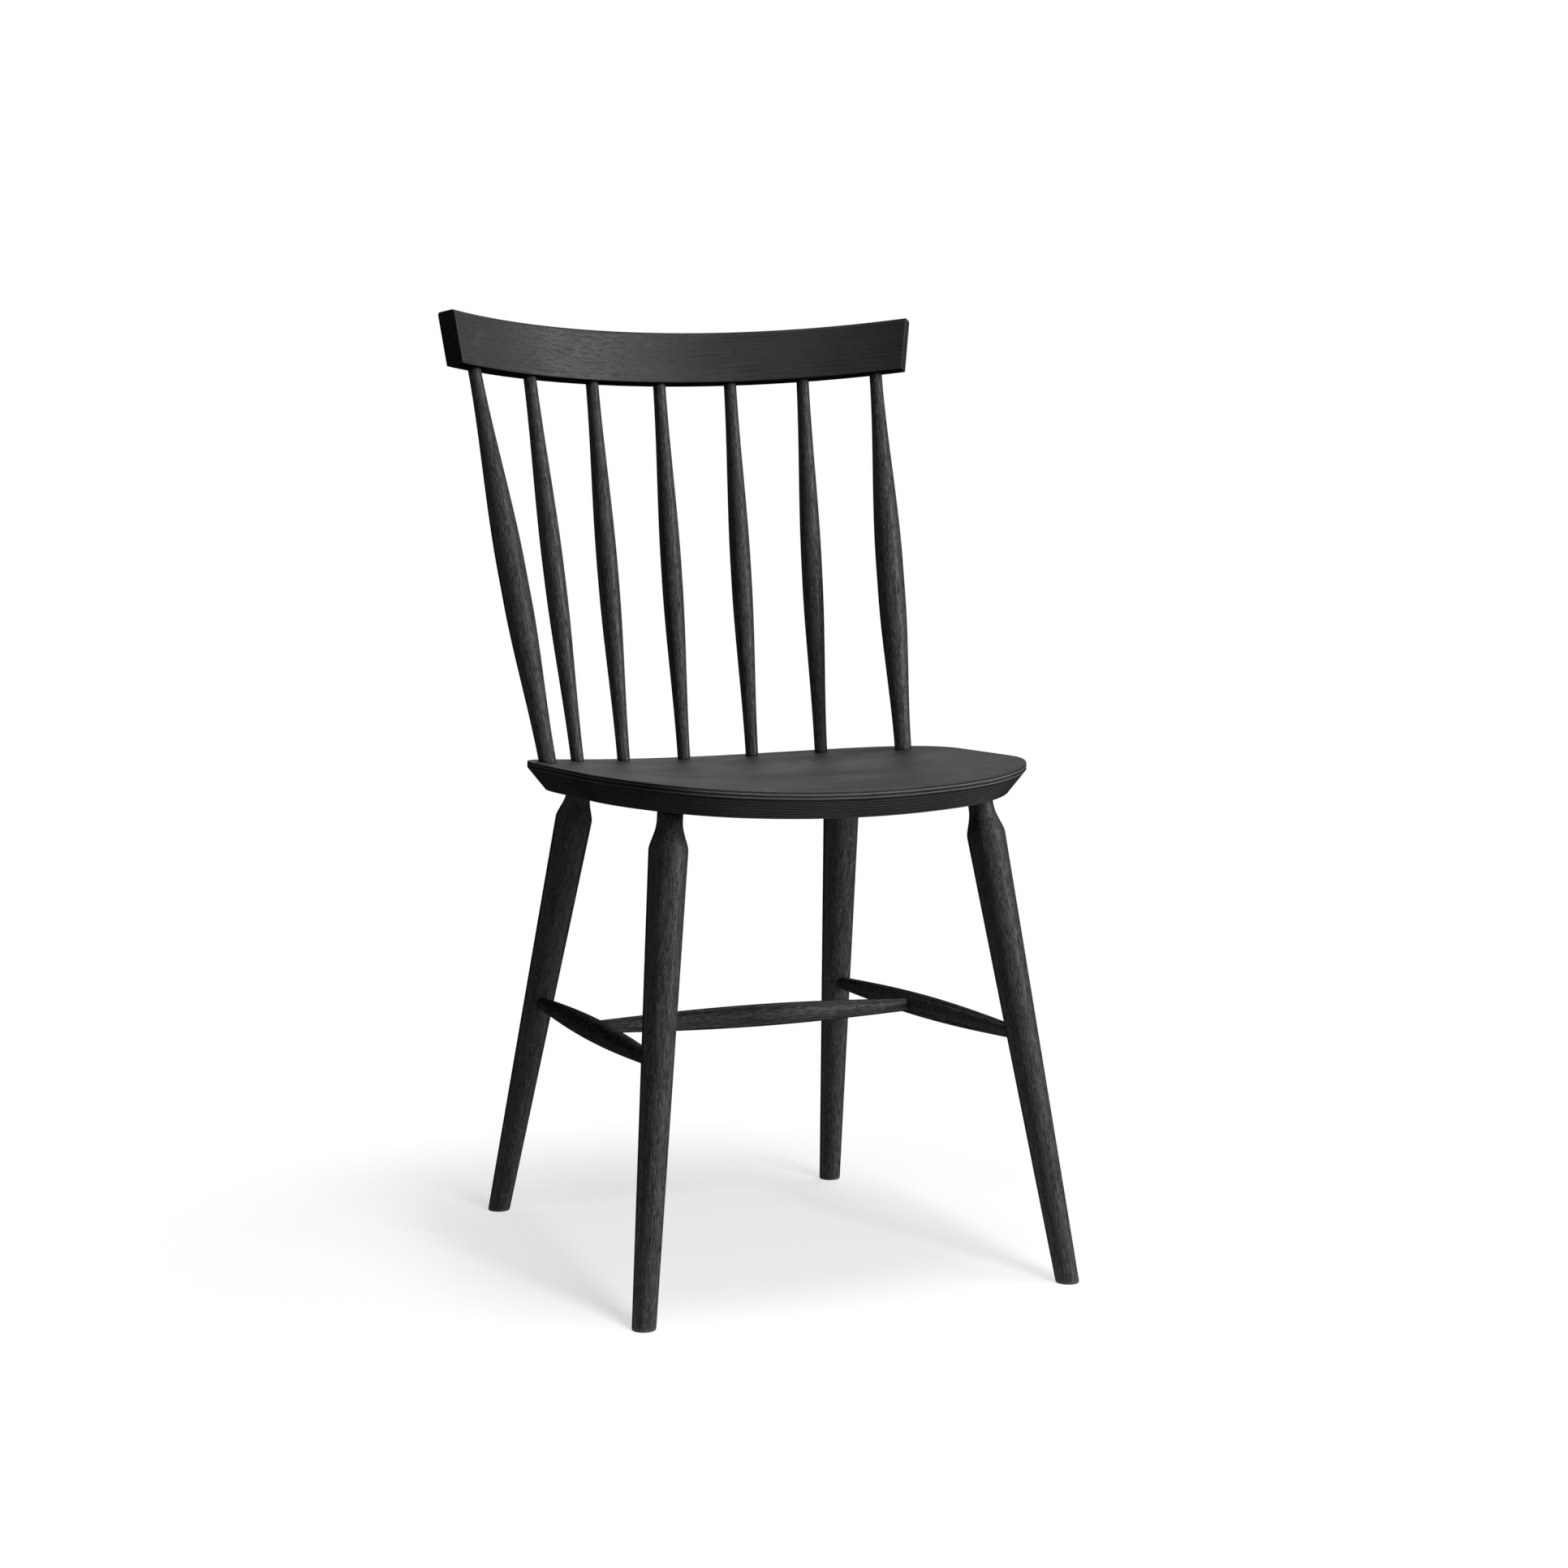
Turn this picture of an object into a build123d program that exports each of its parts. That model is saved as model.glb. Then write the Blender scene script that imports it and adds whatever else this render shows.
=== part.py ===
from build123d import *
import math
import os

# Spindle-back dining chair: a dished plywood seat on four raked legs braced by an H of stretchers,
# with a row of turned spindles under a bent crest rail.
# Millimetres. X runs left to right seen from the front, the front faces -Y, Z is up from the floor.
# Until the last step Y counts from the line across the seat where its height is measured.

# Seat board: a half-round back, straight sides, large front corners and a gently bowed front edge
seat_height = 450.0
seat_width = 427.0
seat_depth = 448.5
seat_back_y = 215.5
seat_thickness = 24.5
seat_rake = 1.0
dish_radius = 1500.0
front_bow_radius = 740.0
front_corner_radius = 125.0
edge_band = 6.0
edge_bevel = 16.5

# Legs: each axis meets the underside of the seat this far in from its edges,
# and the foot stands out from there by its splay sideways and its rake fore or aft
front_leg_from_side = 63.5
front_leg_from_front = 71.0
front_leg_splay = 54.6
front_leg_rake = 74.7
front_neck_length = 8.0
rear_leg_from_side = 76.9
rear_leg_from_back = 104.1
rear_leg_splay = 43.1
rear_leg_rake = 125.3
rear_neck_length = 5.2
neck_diameter = 23.0
flare_length = 25.0
shoulder_diameter = 35.0
foot_diameter = 21.0

# Stretchers: how far up each leg they sit, and where along the side ones the cross one meets them
stretcher_up_leg = 227.5
cross_from_front = 203.5
stretcher_end_diameter = 12.0
side_belly_diameter = 21.5
cross_belly_diameter = 21.0
tenon_past_axis = 4.0

# Spindles: their feet on an arc on the seat, their tops on an arc under the crest rail
spindle_from_back = 27.7
spindle_from_side = 14.0
inner_per_side = 2
inner_seat_angle = 19.85
outer_gap_angle = 26.6
crest_step_angle = 10.37
inner_end_diameter = 12.5
inner_belly_diameter = 20.5
inner_belly_low = 0.46
inner_belly_high = 0.51
outer_foot_diameter = 16.3
outer_top_diameter = 12.5
outer_belly_diameter = 26.8
outer_belly_low = 0.40
outer_belly_high = 0.49

# Crest rail: bent to an arc, leaning back, its ends flared outwards beyond the outer spindles
crest_above_seat = 365.0
crest_behind_seat = 37.0
crest_height = 50.7
crest_thickness = 20.0
crest_radius = 397.0
crest_lean = 11.6
crest_past_angle = 4.0
crest_end_flare = 9.8
crest_top_round = 3.0

# Joints: wood left beyond a blind socket, socket depth in the rail, glue film and glue pocket
leg_socket_skin = 7.5
spindle_socket_skin = 9.5
crest_socket_depth = 14.0
glue_gap = 0.1
glue_pocket = 1.0

# Shape of the turned curves, as shares of their own length and height
flare_shoulder_run = 0.3
flare_shoulder_drop = 0.2
flare_neck_run = 0.4
arch_run = 0.36
arch_rise = 0.57

# Derived planes and places
half_width = seat_width / 2
round_y = seat_back_y - half_width
front_edge_y = seat_back_y - seat_depth
bevel_drop = seat_thickness - edge_band
seat_plane = Plane((0, 0, seat_height)).rotated((-seat_rake, 0, 0))
crest_foot = (0, seat_back_y + crest_behind_seat, seat_height + crest_above_seat)
crest_plane = Plane(crest_foot).rotated((-crest_lean, 0, 0))
crest_middle_radius = crest_radius + crest_thickness / 2
outer_crest_angle = (inner_per_side + 1) * crest_step_angle
outer_seat_angle = inner_per_side * inner_seat_angle + outer_gap_angle
spindle_arc_radius = half_width - spindle_from_side
spindle_arc_y = seat_back_y - spindle_from_back - spindle_arc_radius
leg_tenon = seat_thickness - leg_socket_skin
spindle_tenon = seat_thickness - spindle_socket_skin
overshoot = 2 * shoulder_diameter
from_below = (Align.CENTER, Align.CENTER, Align.MIN)


def dish(x, radius, low):
    """Height of a dish of this radius, whose lowest line is at low, x from the middle."""
    return low + radius - math.sqrt(radius**2 - x**2)


def on_seat(x, y):
    """Point on the top of the seat, over x and y of the seat's own plane."""
    return seat_plane.from_local_coords(Vector(x, y, dish(x, dish_radius, 0)))


def under_seat(x, y):
    """Point on the underside of the seat, under x and y of the seat's own plane."""
    height = dish(x, dish_radius + seat_thickness, -seat_thickness)
    return seat_plane.from_local_coords(Vector(x, y, height))


def under_crest(angle):
    """Point in the middle of the crest rail's underside, at this angle along its arc."""
    turn = math.radians(angle)
    x = crest_middle_radius * math.sin(turn)
    y = -crest_middle_radius * (1 - math.cos(turn))
    return crest_plane.from_local_coords(Vector(x, y, 0))


def swell(start, end, start_radius, end_radius):
    """Profile curve of a turned swelling that leaves and ends along the axis."""
    third = (end - start) / 3
    return Bezier(
        (start_radius, 0, start),
        (start_radius, 0, start + third),
        (end_radius, 0, end - third),
        (end_radius, 0, end),
    )


def turned(curves, low, high):
    """Solid turned about Z from profile curves that run from height low to height high."""
    first = curves[0] @ 0
    last = curves[-1] @ 1
    ends = [
        Line((0, 0, low), (first.X, 0, low)),
        Line((last.X, 0, high), (0, 0, high)),
        Line((0, 0, high), (0, 0, low)),
    ]
    return revolve(make_face(curves + ends), Axis.Z)


def stand(solid, foot, head):
    """Solid modelled along Z, placed with its zero at foot and its Z towards head."""
    return Plane(foot, z_dir=head - foot).location * solid


def socket(mouth, inward, diameter, depth):
    """Blind round socket for a tenon, its depth counted from the mouth along inward."""
    radius = diameter / 2 + glue_gap
    bore = Cylinder(radius, overshoot + depth + glue_pocket, align=from_below)
    way = inward.normalized()
    return Plane(mouth - way * overshoot, z_dir=way).location * bore


def mirrored(solid):
    """Left-hand twin of a right-hand piece."""
    return mirror(solid, Plane.YZ)


def seat_outline():
    """Plan of the seat in its own plane."""
    bow_y = front_edge_y + front_bow_radius
    corner_x = half_width - front_corner_radius
    reach = front_bow_radius - front_corner_radius
    corner_y = bow_y - math.sqrt(reach**2 - corner_x**2)
    join_x = corner_x * front_bow_radius / reach
    join_y = bow_y + (corner_y - bow_y) * front_bow_radius / reach
    half_turn = math.atan2(corner_y - join_y, join_x - corner_x) / 2
    mid_x = corner_x + front_corner_radius * math.cos(half_turn)
    mid_y = corner_y - front_corner_radius * math.sin(half_turn)
    right = [
        Line((half_width, round_y), (half_width, corner_y)),
        ThreePointArc((half_width, corner_y), (mid_x, mid_y), (join_x, join_y)),
    ]
    left = [mirrored(edge) for edge in right]
    back = ThreePointArc((-half_width, round_y), (0, seat_back_y), (half_width, round_y))
    front = ThreePointArc((join_x, join_y), (0, front_edge_y), (-join_x, join_y))
    return make_face([back, front] + right + left)


def seat_board():
    """Dished board with an upright band round its edge and a bevel under it, before its sockets."""
    tall = dish(half_width, dish_radius, 0) + 2 * seat_thickness
    blank = extrude(seat_outline(), tall, both=True)
    lying = Pos(Z=dish_radius) * Rot(X=90)
    hollow = lying * Cylinder(dish_radius, 2 * seat_depth)
    round_below = lying * Cylinder(dish_radius + seat_thickness, 2 * seat_depth)
    board = (blank & round_below) - hollow
    underside = board.faces().sort_by(Axis.Z)[0]
    board = chamfer(underside.outer_wire().edges(), edge_bevel, bevel_drop, reference=underside)
    return seat_plane.location * board


def leg_ends():
    """Foot, head and neck length of the right-hand legs, by name."""
    front_x = half_width - front_leg_from_side
    front_y = front_edge_y + front_leg_from_front
    rear_x = half_width - rear_leg_from_side
    rear_y = seat_back_y - rear_leg_from_back
    front_foot = Vector(front_x + front_leg_splay, front_y - front_leg_rake, 0)
    rear_foot = Vector(rear_x + rear_leg_splay, rear_y + rear_leg_rake, 0)
    return {
        "front_leg": (front_foot, under_seat(front_x, front_y), front_neck_length),
        "rear_leg": (rear_foot, under_seat(rear_x, rear_y), rear_neck_length),
    }


def shoulder_height(foot, head, neck_length):
    """How far up a leg its straight taper ends."""
    return (head - foot).length - neck_length - flare_length


def leg(foot, head, neck_length):
    """Leg from its cut on the floor to its tenon in the seat."""
    shoulder = shoulder_height(foot, head, neck_length)
    neck = shoulder + flare_length
    tip = neck + neck_length + leg_tenon
    neck_radius = neck_diameter / 2
    shoulder_radius = shoulder_diameter / 2
    foot_radius = foot_diameter / 2
    stub = foot_diameter
    taper = (shoulder_radius - foot_radius) / shoulder
    drop = flare_shoulder_drop * (shoulder_radius - neck_radius)
    curves = [
        Line((foot_radius - taper * stub, 0, -stub), (shoulder_radius, 0, shoulder)),
        Bezier(
            (shoulder_radius, 0, shoulder),
            (shoulder_radius - drop, 0, shoulder + flare_shoulder_run * flare_length),
            (neck_radius, 0, neck - flare_neck_run * flare_length),
            (neck_radius, 0, neck),
        ),
        Line((neck_radius, 0, neck), (neck_radius, 0, tip)),
    ]
    whole = stand(turned(curves, -stub, tip), foot, head)
    return split(whole, bisect_by=Plane.XY, keep=Keep.TOP)


def leg_radius(foot, head, neck_length):
    """Radius of a leg where its stretcher meets it, on its taper."""
    share = stretcher_up_leg / shoulder_height(foot, head, neck_length)
    return (foot_diameter + (shoulder_diameter - foot_diameter) * share) / 2


def arch(start, end, end_radius, belly_radius):
    """Profile curves of a stretcher that rises from its ends to a belly in the middle."""
    middle = (start + end) / 2
    run = (middle - start) * arch_run
    rise = (belly_radius - end_radius) * arch_rise
    up = Bezier(
        (end_radius, 0, start),
        (end_radius + rise, 0, start + run),
        (belly_radius, 0, middle - run),
        (belly_radius, 0, middle),
    )
    down = Bezier(
        (belly_radius, 0, middle),
        (belly_radius, 0, middle + run),
        (end_radius + rise, 0, end - run),
        (end_radius, 0, end),
    )
    return [up, down]


def stretcher(start, end, start_clear, end_clear, belly_diameter):
    """Stretcher between two axes, thin up to each clear distance and swollen between them."""
    length = (end - start).length
    radius = stretcher_end_diameter / 2
    swollen = arch(start_clear, length - end_clear, radius, belly_diameter / 2)
    tip = length + tenon_past_axis
    near = Line((radius, 0, -tenon_past_axis), (radius, 0, start_clear))
    far = Line((radius, 0, length - end_clear), (radius, 0, tip))
    return stand(turned([near] + swollen + [far], -tenon_past_axis, tip), start, end)


def stretcher_socket(axis_point, outward):
    """Socket for a stretcher's tenon that passes the middle of the piece that holds it."""
    return socket(axis_point, -outward, stretcher_end_diameter, tenon_past_axis)


def spindle(foot, head, diameters, belly):
    """Spindle from its tenon in the seat to its tenon in the crest rail.

    diameters are those of its foot, belly and top, and belly the span of its length that is fullest.
    """
    length = (head - foot).length
    foot_radius, belly_radius, top_radius = [diameter / 2 for diameter in diameters]
    low, high = [share * length for share in belly]
    tip = length + crest_socket_depth
    curves = [
        Line((foot_radius, 0, -spindle_tenon), (foot_radius, 0, 0)),
        swell(0, low, foot_radius, belly_radius),
        Line((belly_radius, 0, low), (belly_radius, 0, high)),
        swell(high, length, belly_radius, top_radius),
        Line((top_radius, 0, length), (top_radius, 0, tip)),
    ]
    return stand(turned(curves, -spindle_tenon, tip), foot, head)


def spindle_rows():
    """Name, angle on the seat, angle on the crest rail, diameters and belly of every spindle."""
    inner_sizes = (inner_end_diameter, inner_belly_diameter, inner_end_diameter)
    inner_belly = (inner_belly_low, inner_belly_high)
    outer_sizes = (outer_foot_diameter, outer_belly_diameter, outer_top_diameter)
    outer_belly = (outer_belly_low, outer_belly_high)
    rows = []
    for step in range(-inner_per_side, inner_per_side + 1):
        name = f"inner_spindle_{step + inner_per_side + 1}"
        rows.append((name, step * inner_seat_angle, step * crest_step_angle, inner_sizes, inner_belly))
    for side, name in ((-1, "left"), (1, "right")):
        angles = (side * outer_seat_angle, side * outer_crest_angle)
        rows.append((f"outer_spindle_{name}", *angles, outer_sizes, outer_belly))
    return rows


def spindle_ends(seat_angle, crest_angle):
    """Foot on the seat and head under the crest rail of the spindle at these angles."""
    turn = math.radians(seat_angle)
    x = spindle_arc_radius * math.sin(turn)
    y = spindle_arc_y + spindle_arc_radius * math.cos(turn)
    return on_seat(x, y), under_crest(crest_angle)


def crest_rail():
    """Bent board with flared ends and rounded top edges, before its sockets."""
    outside = Cylinder(crest_radius + crest_thickness, crest_height, align=from_below)
    inside = Cylinder(crest_radius, crest_height, align=from_below)
    board = Pos(Y=-crest_middle_radius) * (outside - inside)
    turn = math.radians(outer_crest_angle + crest_past_angle)
    tilt = math.tan(math.radians(crest_end_flare))
    end_x = crest_radius * math.sin(turn)
    end_y = crest_radius * math.cos(turn) - crest_middle_radius
    for side in (-1, 1):
        along = Vector(side * math.cos(turn), -math.sin(turn), -tilt)
        end = Plane((side * end_x, end_y, 0), z_dir=along)
        board = split(board, bisect_by=end, keep=Keep.BOTTOM)
    top = board.faces().sort_by(Axis.Z)[-1]
    board = fillet(top.edges().sort_by(SortBy.LENGTH)[-2:], crest_top_round)
    return crest_plane.location * board


def fit_spindles(seat, crest):
    """Spindles by name, with the seat and the crest rail bored for them."""
    pieces = {}
    for name, seat_angle, crest_angle, sizes, belly in spindle_rows():
        foot, head = spindle_ends(seat_angle, crest_angle)
        pieces[name] = spindle(foot, head, sizes, belly)
        seat -= socket(foot, foot - head, sizes[0], spindle_tenon)
        crest -= socket(head, head - foot, sizes[2], crest_socket_depth)
    return pieces, seat, crest


def fit_legs(seat):
    """Legs and stretchers by name, with the seat bored for the legs."""
    ends = leg_ends()
    joints = [foot + (head - foot).normalized() * stretcher_up_leg for foot, head, _ in ends.values()]
    clears = [leg_radius(*row) for row in ends.values()]
    backward = joints[1] - joints[0]
    pieces = {}
    for (name, row), joint, outward in zip(ends.items(), joints, (backward, -backward)):
        foot, head, _ = row
        right = leg(*row) - stretcher_socket(joint, outward)
        pieces[f"{name}_right"] = right
        pieces[f"{name}_left"] = mirrored(right)
        seat_socket = socket(head, head - foot, neck_diameter, leg_tenon)
        seat -= seat_socket
        seat -= mirrored(seat_socket)

    crossing = joints[0] + backward.normalized() * cross_from_front
    far_crossing = Vector(-crossing.X, crossing.Y, crossing.Z)
    side = stretcher(*joints, *clears, side_belly_diameter)
    side -= stretcher_socket(crossing, far_crossing - crossing)
    pieces["side_stretcher_right"] = side
    pieces["side_stretcher_left"] = mirrored(side)
    side_radius = side_belly_diameter / 2
    cross = stretcher(far_crossing, crossing, side_radius, side_radius, cross_belly_diameter)
    pieces["cross_stretcher"] = cross
    return pieces, seat


def build_chair():
    """All pieces by name, in the frame that the sizes are written in."""
    spindles, seat, crest = fit_spindles(seat_board(), crest_rail())
    legs, seat = fit_legs(seat)
    return {"seat": seat, "crest_rail": crest, **spindles, **legs}


def write_pieces(pieces):
    """Write each piece, with the origin on the floor under the middle of the whole chair's box."""
    box = Compound(list(pieces.values())).bounding_box()
    middle_y = (box.min.Y + box.max.Y) / 2
    os.makedirs("parts", exist_ok=True)
    for name, solid in pieces.items():
        export_step(Pos(Y=-middle_y) * solid, f"parts/{name}.step")
    size = box.size
    print(f"overall {size.X:.1f} x {size.Y:.1f} x {size.Z:.1f} mm, origin at y {middle_y:.2f}")


write_pieces(build_chair())
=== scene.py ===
"""Spindle-back dining chair: turned and bent wood under a black stain, with a pressed plywood seat.

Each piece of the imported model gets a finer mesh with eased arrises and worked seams, and a
procedural stained-wood finish. Metres, in the model's own frame: X runs left to right seen from
the front, the front faces -Y and Z is up from the floor.
"""

import logging
import math
from dataclasses import dataclass, field
from enum import Enum
from typing import Callable, Iterator, Sequence

import bpy
import numpy as np
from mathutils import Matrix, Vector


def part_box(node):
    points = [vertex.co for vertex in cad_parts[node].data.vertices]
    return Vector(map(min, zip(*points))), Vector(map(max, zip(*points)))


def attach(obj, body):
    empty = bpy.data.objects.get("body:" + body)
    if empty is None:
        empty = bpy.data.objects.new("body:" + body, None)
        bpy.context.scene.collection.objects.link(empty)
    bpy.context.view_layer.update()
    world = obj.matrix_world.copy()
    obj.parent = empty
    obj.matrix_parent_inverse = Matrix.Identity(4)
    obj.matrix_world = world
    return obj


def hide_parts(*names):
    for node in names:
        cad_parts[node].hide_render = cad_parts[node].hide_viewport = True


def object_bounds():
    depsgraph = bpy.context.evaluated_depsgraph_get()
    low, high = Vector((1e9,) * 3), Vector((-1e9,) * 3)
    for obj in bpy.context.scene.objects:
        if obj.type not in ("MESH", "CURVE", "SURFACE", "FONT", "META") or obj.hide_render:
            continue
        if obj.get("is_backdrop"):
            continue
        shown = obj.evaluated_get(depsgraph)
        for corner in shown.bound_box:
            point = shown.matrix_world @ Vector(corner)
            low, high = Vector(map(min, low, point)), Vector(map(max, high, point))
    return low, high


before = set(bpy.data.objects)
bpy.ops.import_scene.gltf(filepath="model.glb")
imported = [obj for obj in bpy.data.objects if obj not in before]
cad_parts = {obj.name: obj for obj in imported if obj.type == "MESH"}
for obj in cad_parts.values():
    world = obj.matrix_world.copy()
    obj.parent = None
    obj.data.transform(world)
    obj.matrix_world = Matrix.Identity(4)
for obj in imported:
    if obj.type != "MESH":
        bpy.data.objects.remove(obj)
CAD_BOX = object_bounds()
MIDDLE = (np.array(CAD_BOX[0]) + np.array(CAD_BOX[1])) / 2

LOG = logging.getLogger("chair")
BODY = "root"
PHOTO_SIDE = 1932
CURVE_POINTS = 60
# How far from the pith pieces are cut, and the length of trunk that they come from.
PITH_AWAY = (0.035, 0.070)
TRUNK_LENGTH = 5.0

Array = np.ndarray
Gap = Callable[[Array], Array]
Colour = tuple[float, float, float, float]


class Slot(Enum):
    """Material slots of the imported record."""

    SEAT = "seat"
    CREST = "crest"
    TURNED = "turned"


class Side(Enum):
    """The two halves of the chair, by the sign of X."""

    LEFT = -1
    RIGHT = 1

    @property
    def word(self) -> str:
        """Ending of the names of pieces on this side."""
        return self.name.lower()


class Lit(Enum):
    """What a lamp is shaded to."""

    CHAIR = "chair"
    FLOOR = "floor"


class Mark(Enum):
    """Values kept on the points of every mesh, for the finishes to read."""

    GRAIN = "grain"
    ARRIS = "arris"
    # Glued seams, and also the painted shade along the crest rail's underside.
    SEAM = "seam"
    PLY = "ply"


def unit(vector: Array) -> Array:
    """Vector scaled to a length of one."""
    return vector / np.linalg.norm(vector)


def smooth(share: Array) -> Array:
    """Share from 0 to 1, eased in and out, and held at both ends."""
    held = np.clip(share, 0.0, 1.0)
    return held * held * (3.0 - 2.0 * held)


def bezier(start: Sequence[float], first: Sequence[float], second: Sequence[float],
           end: Sequence[float]) -> Array:
    """Points of a cubic curve.

    Args:
        start: Where the curve begins.
        first: Point that it leaves towards.
        second: Point that it arrives from.
        end: Where the curve ends.

    Returns:
        The points, one a row.
    """
    t = np.linspace(0.0, 1.0, CURVE_POINTS)[:, None]
    held = [np.asarray(point, float) for point in (start, first, second, end)]
    weights = ((1 - t) ** 3, 3 * t * (1 - t) ** 2, 3 * t**2 * (1 - t), t**3)
    return sum(weight * point for weight, point in zip(weights, held))


def swell(start: float, end: float, start_radius: float, end_radius: float) -> Array:
    """Turned curve that leaves and ends along the axis.

    Args:
        start: Height where it begins.
        end: Height where it ends.
        start_radius: Radius at the start.
        end_radius: Radius at the end.

    Returns:
        Rows of height and radius.
    """
    third = (end - start) / 3
    return bezier((start, start_radius), (start + third, start_radius),
                  (end - third, end_radius), (end, end_radius))


@dataclass(frozen=True)
class Plane:
    """Plane tipped about X, with its own coordinates.

    Attributes:
        origin: Point that its coordinates count from.
        tip: Angle about X, in radians.
    """

    origin: tuple[float, float, float]
    tip: float

    @property
    def turn(self) -> Array:
        """Matrix from the plane's directions to the model's."""
        c, s = math.cos(self.tip), math.sin(self.tip)
        return np.array(((1.0, 0.0, 0.0), (0.0, c, -s), (0.0, s, c)))

    def outward(self, points: Array) -> Array:
        """Points of the plane's coordinates, in the model's frame."""
        return points @ self.turn.T + np.asarray(self.origin)

    def inward(self, points: Array) -> Array:
        """Points of the model's frame, in the plane's coordinates."""
        return (points - np.asarray(self.origin)) @ self.turn


@dataclass
class Shell:
    """Mesh gathered from rings of points, with the marks that the finishes read.

    Attributes:
        name: Name of the piece.
        around: Points in each ring.
        crease: Angle from which an edge stays sharp, in radians.
        points: Blocks of points.
        marks: Blocks of each mark, beside the points.
        faces: Numbers of each face's points.
        finishes: Which of the piece's finishes each face takes.
        count: Number of points so far.
    """

    name: str
    around: int
    crease: float = math.radians(40.0)
    points: list[Array] = field(default_factory=list)
    marks: dict[Mark, list[Array]] = field(default_factory=lambda: {mark: [] for mark in Mark})
    faces: list[tuple[int, ...]] = field(default_factory=list)
    finishes: list[int] = field(default_factory=list)
    count: int = 0

    def add(self, points: Array, grain: Array, arris: Array | float = 0.0,
            seam: Array | float = 0.0, ply: Array | float = 0.0) -> int:
        """Points with their marks.

        Args:
            points: Rows of X, Y and Z.
            grain: Rows of wood coordinates, the last one along the fibre.
            arris: How sharp an edge the points lie on, from 0 to 1.
            seam: How close a glued seam is, from 0 to 1; on the crest rail's underside it holds painted
                shade instead.
            ply: Lightness of the ply that is cut there, from 0 to 1.

        Returns:
            Number of the first point.
        """
        first = self.count
        self.points.append(points)
        self.marks[Mark.GRAIN].append(grain)
        for mark, value in ((Mark.ARRIS, arris), (Mark.SEAM, seam), (Mark.PLY, ply)):
            self.marks[mark].append(np.broadcast_to(np.asarray(value, float), len(points)))
        self.count += len(points)
        return first

    def bridge(self, low: int, high: int, finish: int | Sequence[int] = 0) -> None:
        """Quads between two rings, facing out where the second is further along the axis.

        Args:
            low: First point of one ring.
            high: First point of the next ring.
            finish: Which of the piece's finishes they take, all of them or each in turn.
        """
        self.finishes += [finish] * self.around if isinstance(finish, int) else finish
        for step in range(self.around):
            after = (step + 1) % self.around
            self.faces.append((low + step, low + after, high + after, high + step))

    def fan(self, ring: int, centre: int, upward: bool, finish: int = 0) -> None:
        """Triangles that close a ring.

        Args:
            ring: First point of the ring.
            centre: Point in its middle.
            upward: Whether the lid faces along the axis or against it.
            finish: Which of the piece's finishes they take.
        """
        for step in range(self.around):
            after = (step + 1) % self.around
            edge = (ring + step, ring + after) if upward else (ring + after, ring + step)
            self.faces.append((*edge, centre))
            self.finishes.append(finish)

    def finish_piece(self, slot: Slot, materials: Sequence[bpy.types.Material]) -> bpy.types.Object:
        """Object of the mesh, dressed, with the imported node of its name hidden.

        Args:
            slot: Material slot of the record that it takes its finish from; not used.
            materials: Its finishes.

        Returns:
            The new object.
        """
        mesh = bpy.data.meshes.new(self.name)
        mesh.from_pydata(np.concatenate(self.points).tolist(), [], self.faces)
        for mark, values in self.marks.items():
            kind, key = ("FLOAT_VECTOR", "vector") if mark is Mark.GRAIN else ("FLOAT", "value")
            layer = mesh.attributes.new(mark.value, kind, "POINT")
            layer.data.foreach_set(key, np.concatenate(values).astype(np.float32).ravel())
        for material in materials:
            mesh.materials.append(material)
        mesh.polygons.foreach_set("material_index", self.finishes)
        mesh.shade_smooth()
        mesh.set_sharp_from_angle(angle=self.crease)
        mesh.update()
        piece = bpy.data.objects.new(f"{self.name}_piece", mesh)
        bpy.context.scene.collection.objects.link(piece)
        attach(piece, BODY)
        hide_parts(self.name)
        LOG.info("%s: %d points, %d faces", piece.name, self.count, len(self.faces))
        return piece


@dataclass(frozen=True)
class Pattern:
    """Noise in the wood.

    Attributes:
        stretch: How often it repeats in a metre, along each of the wood coordinates.
        detail: Octaves.
        roughness: Weight of the finer octaves.
        span: Values of the noise where a mask of it begins and is full.
    """

    stretch: tuple[float, float, float]
    detail: float
    roughness: float = 0.5
    span: tuple[float, float] = (0.0, 1.0)


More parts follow.
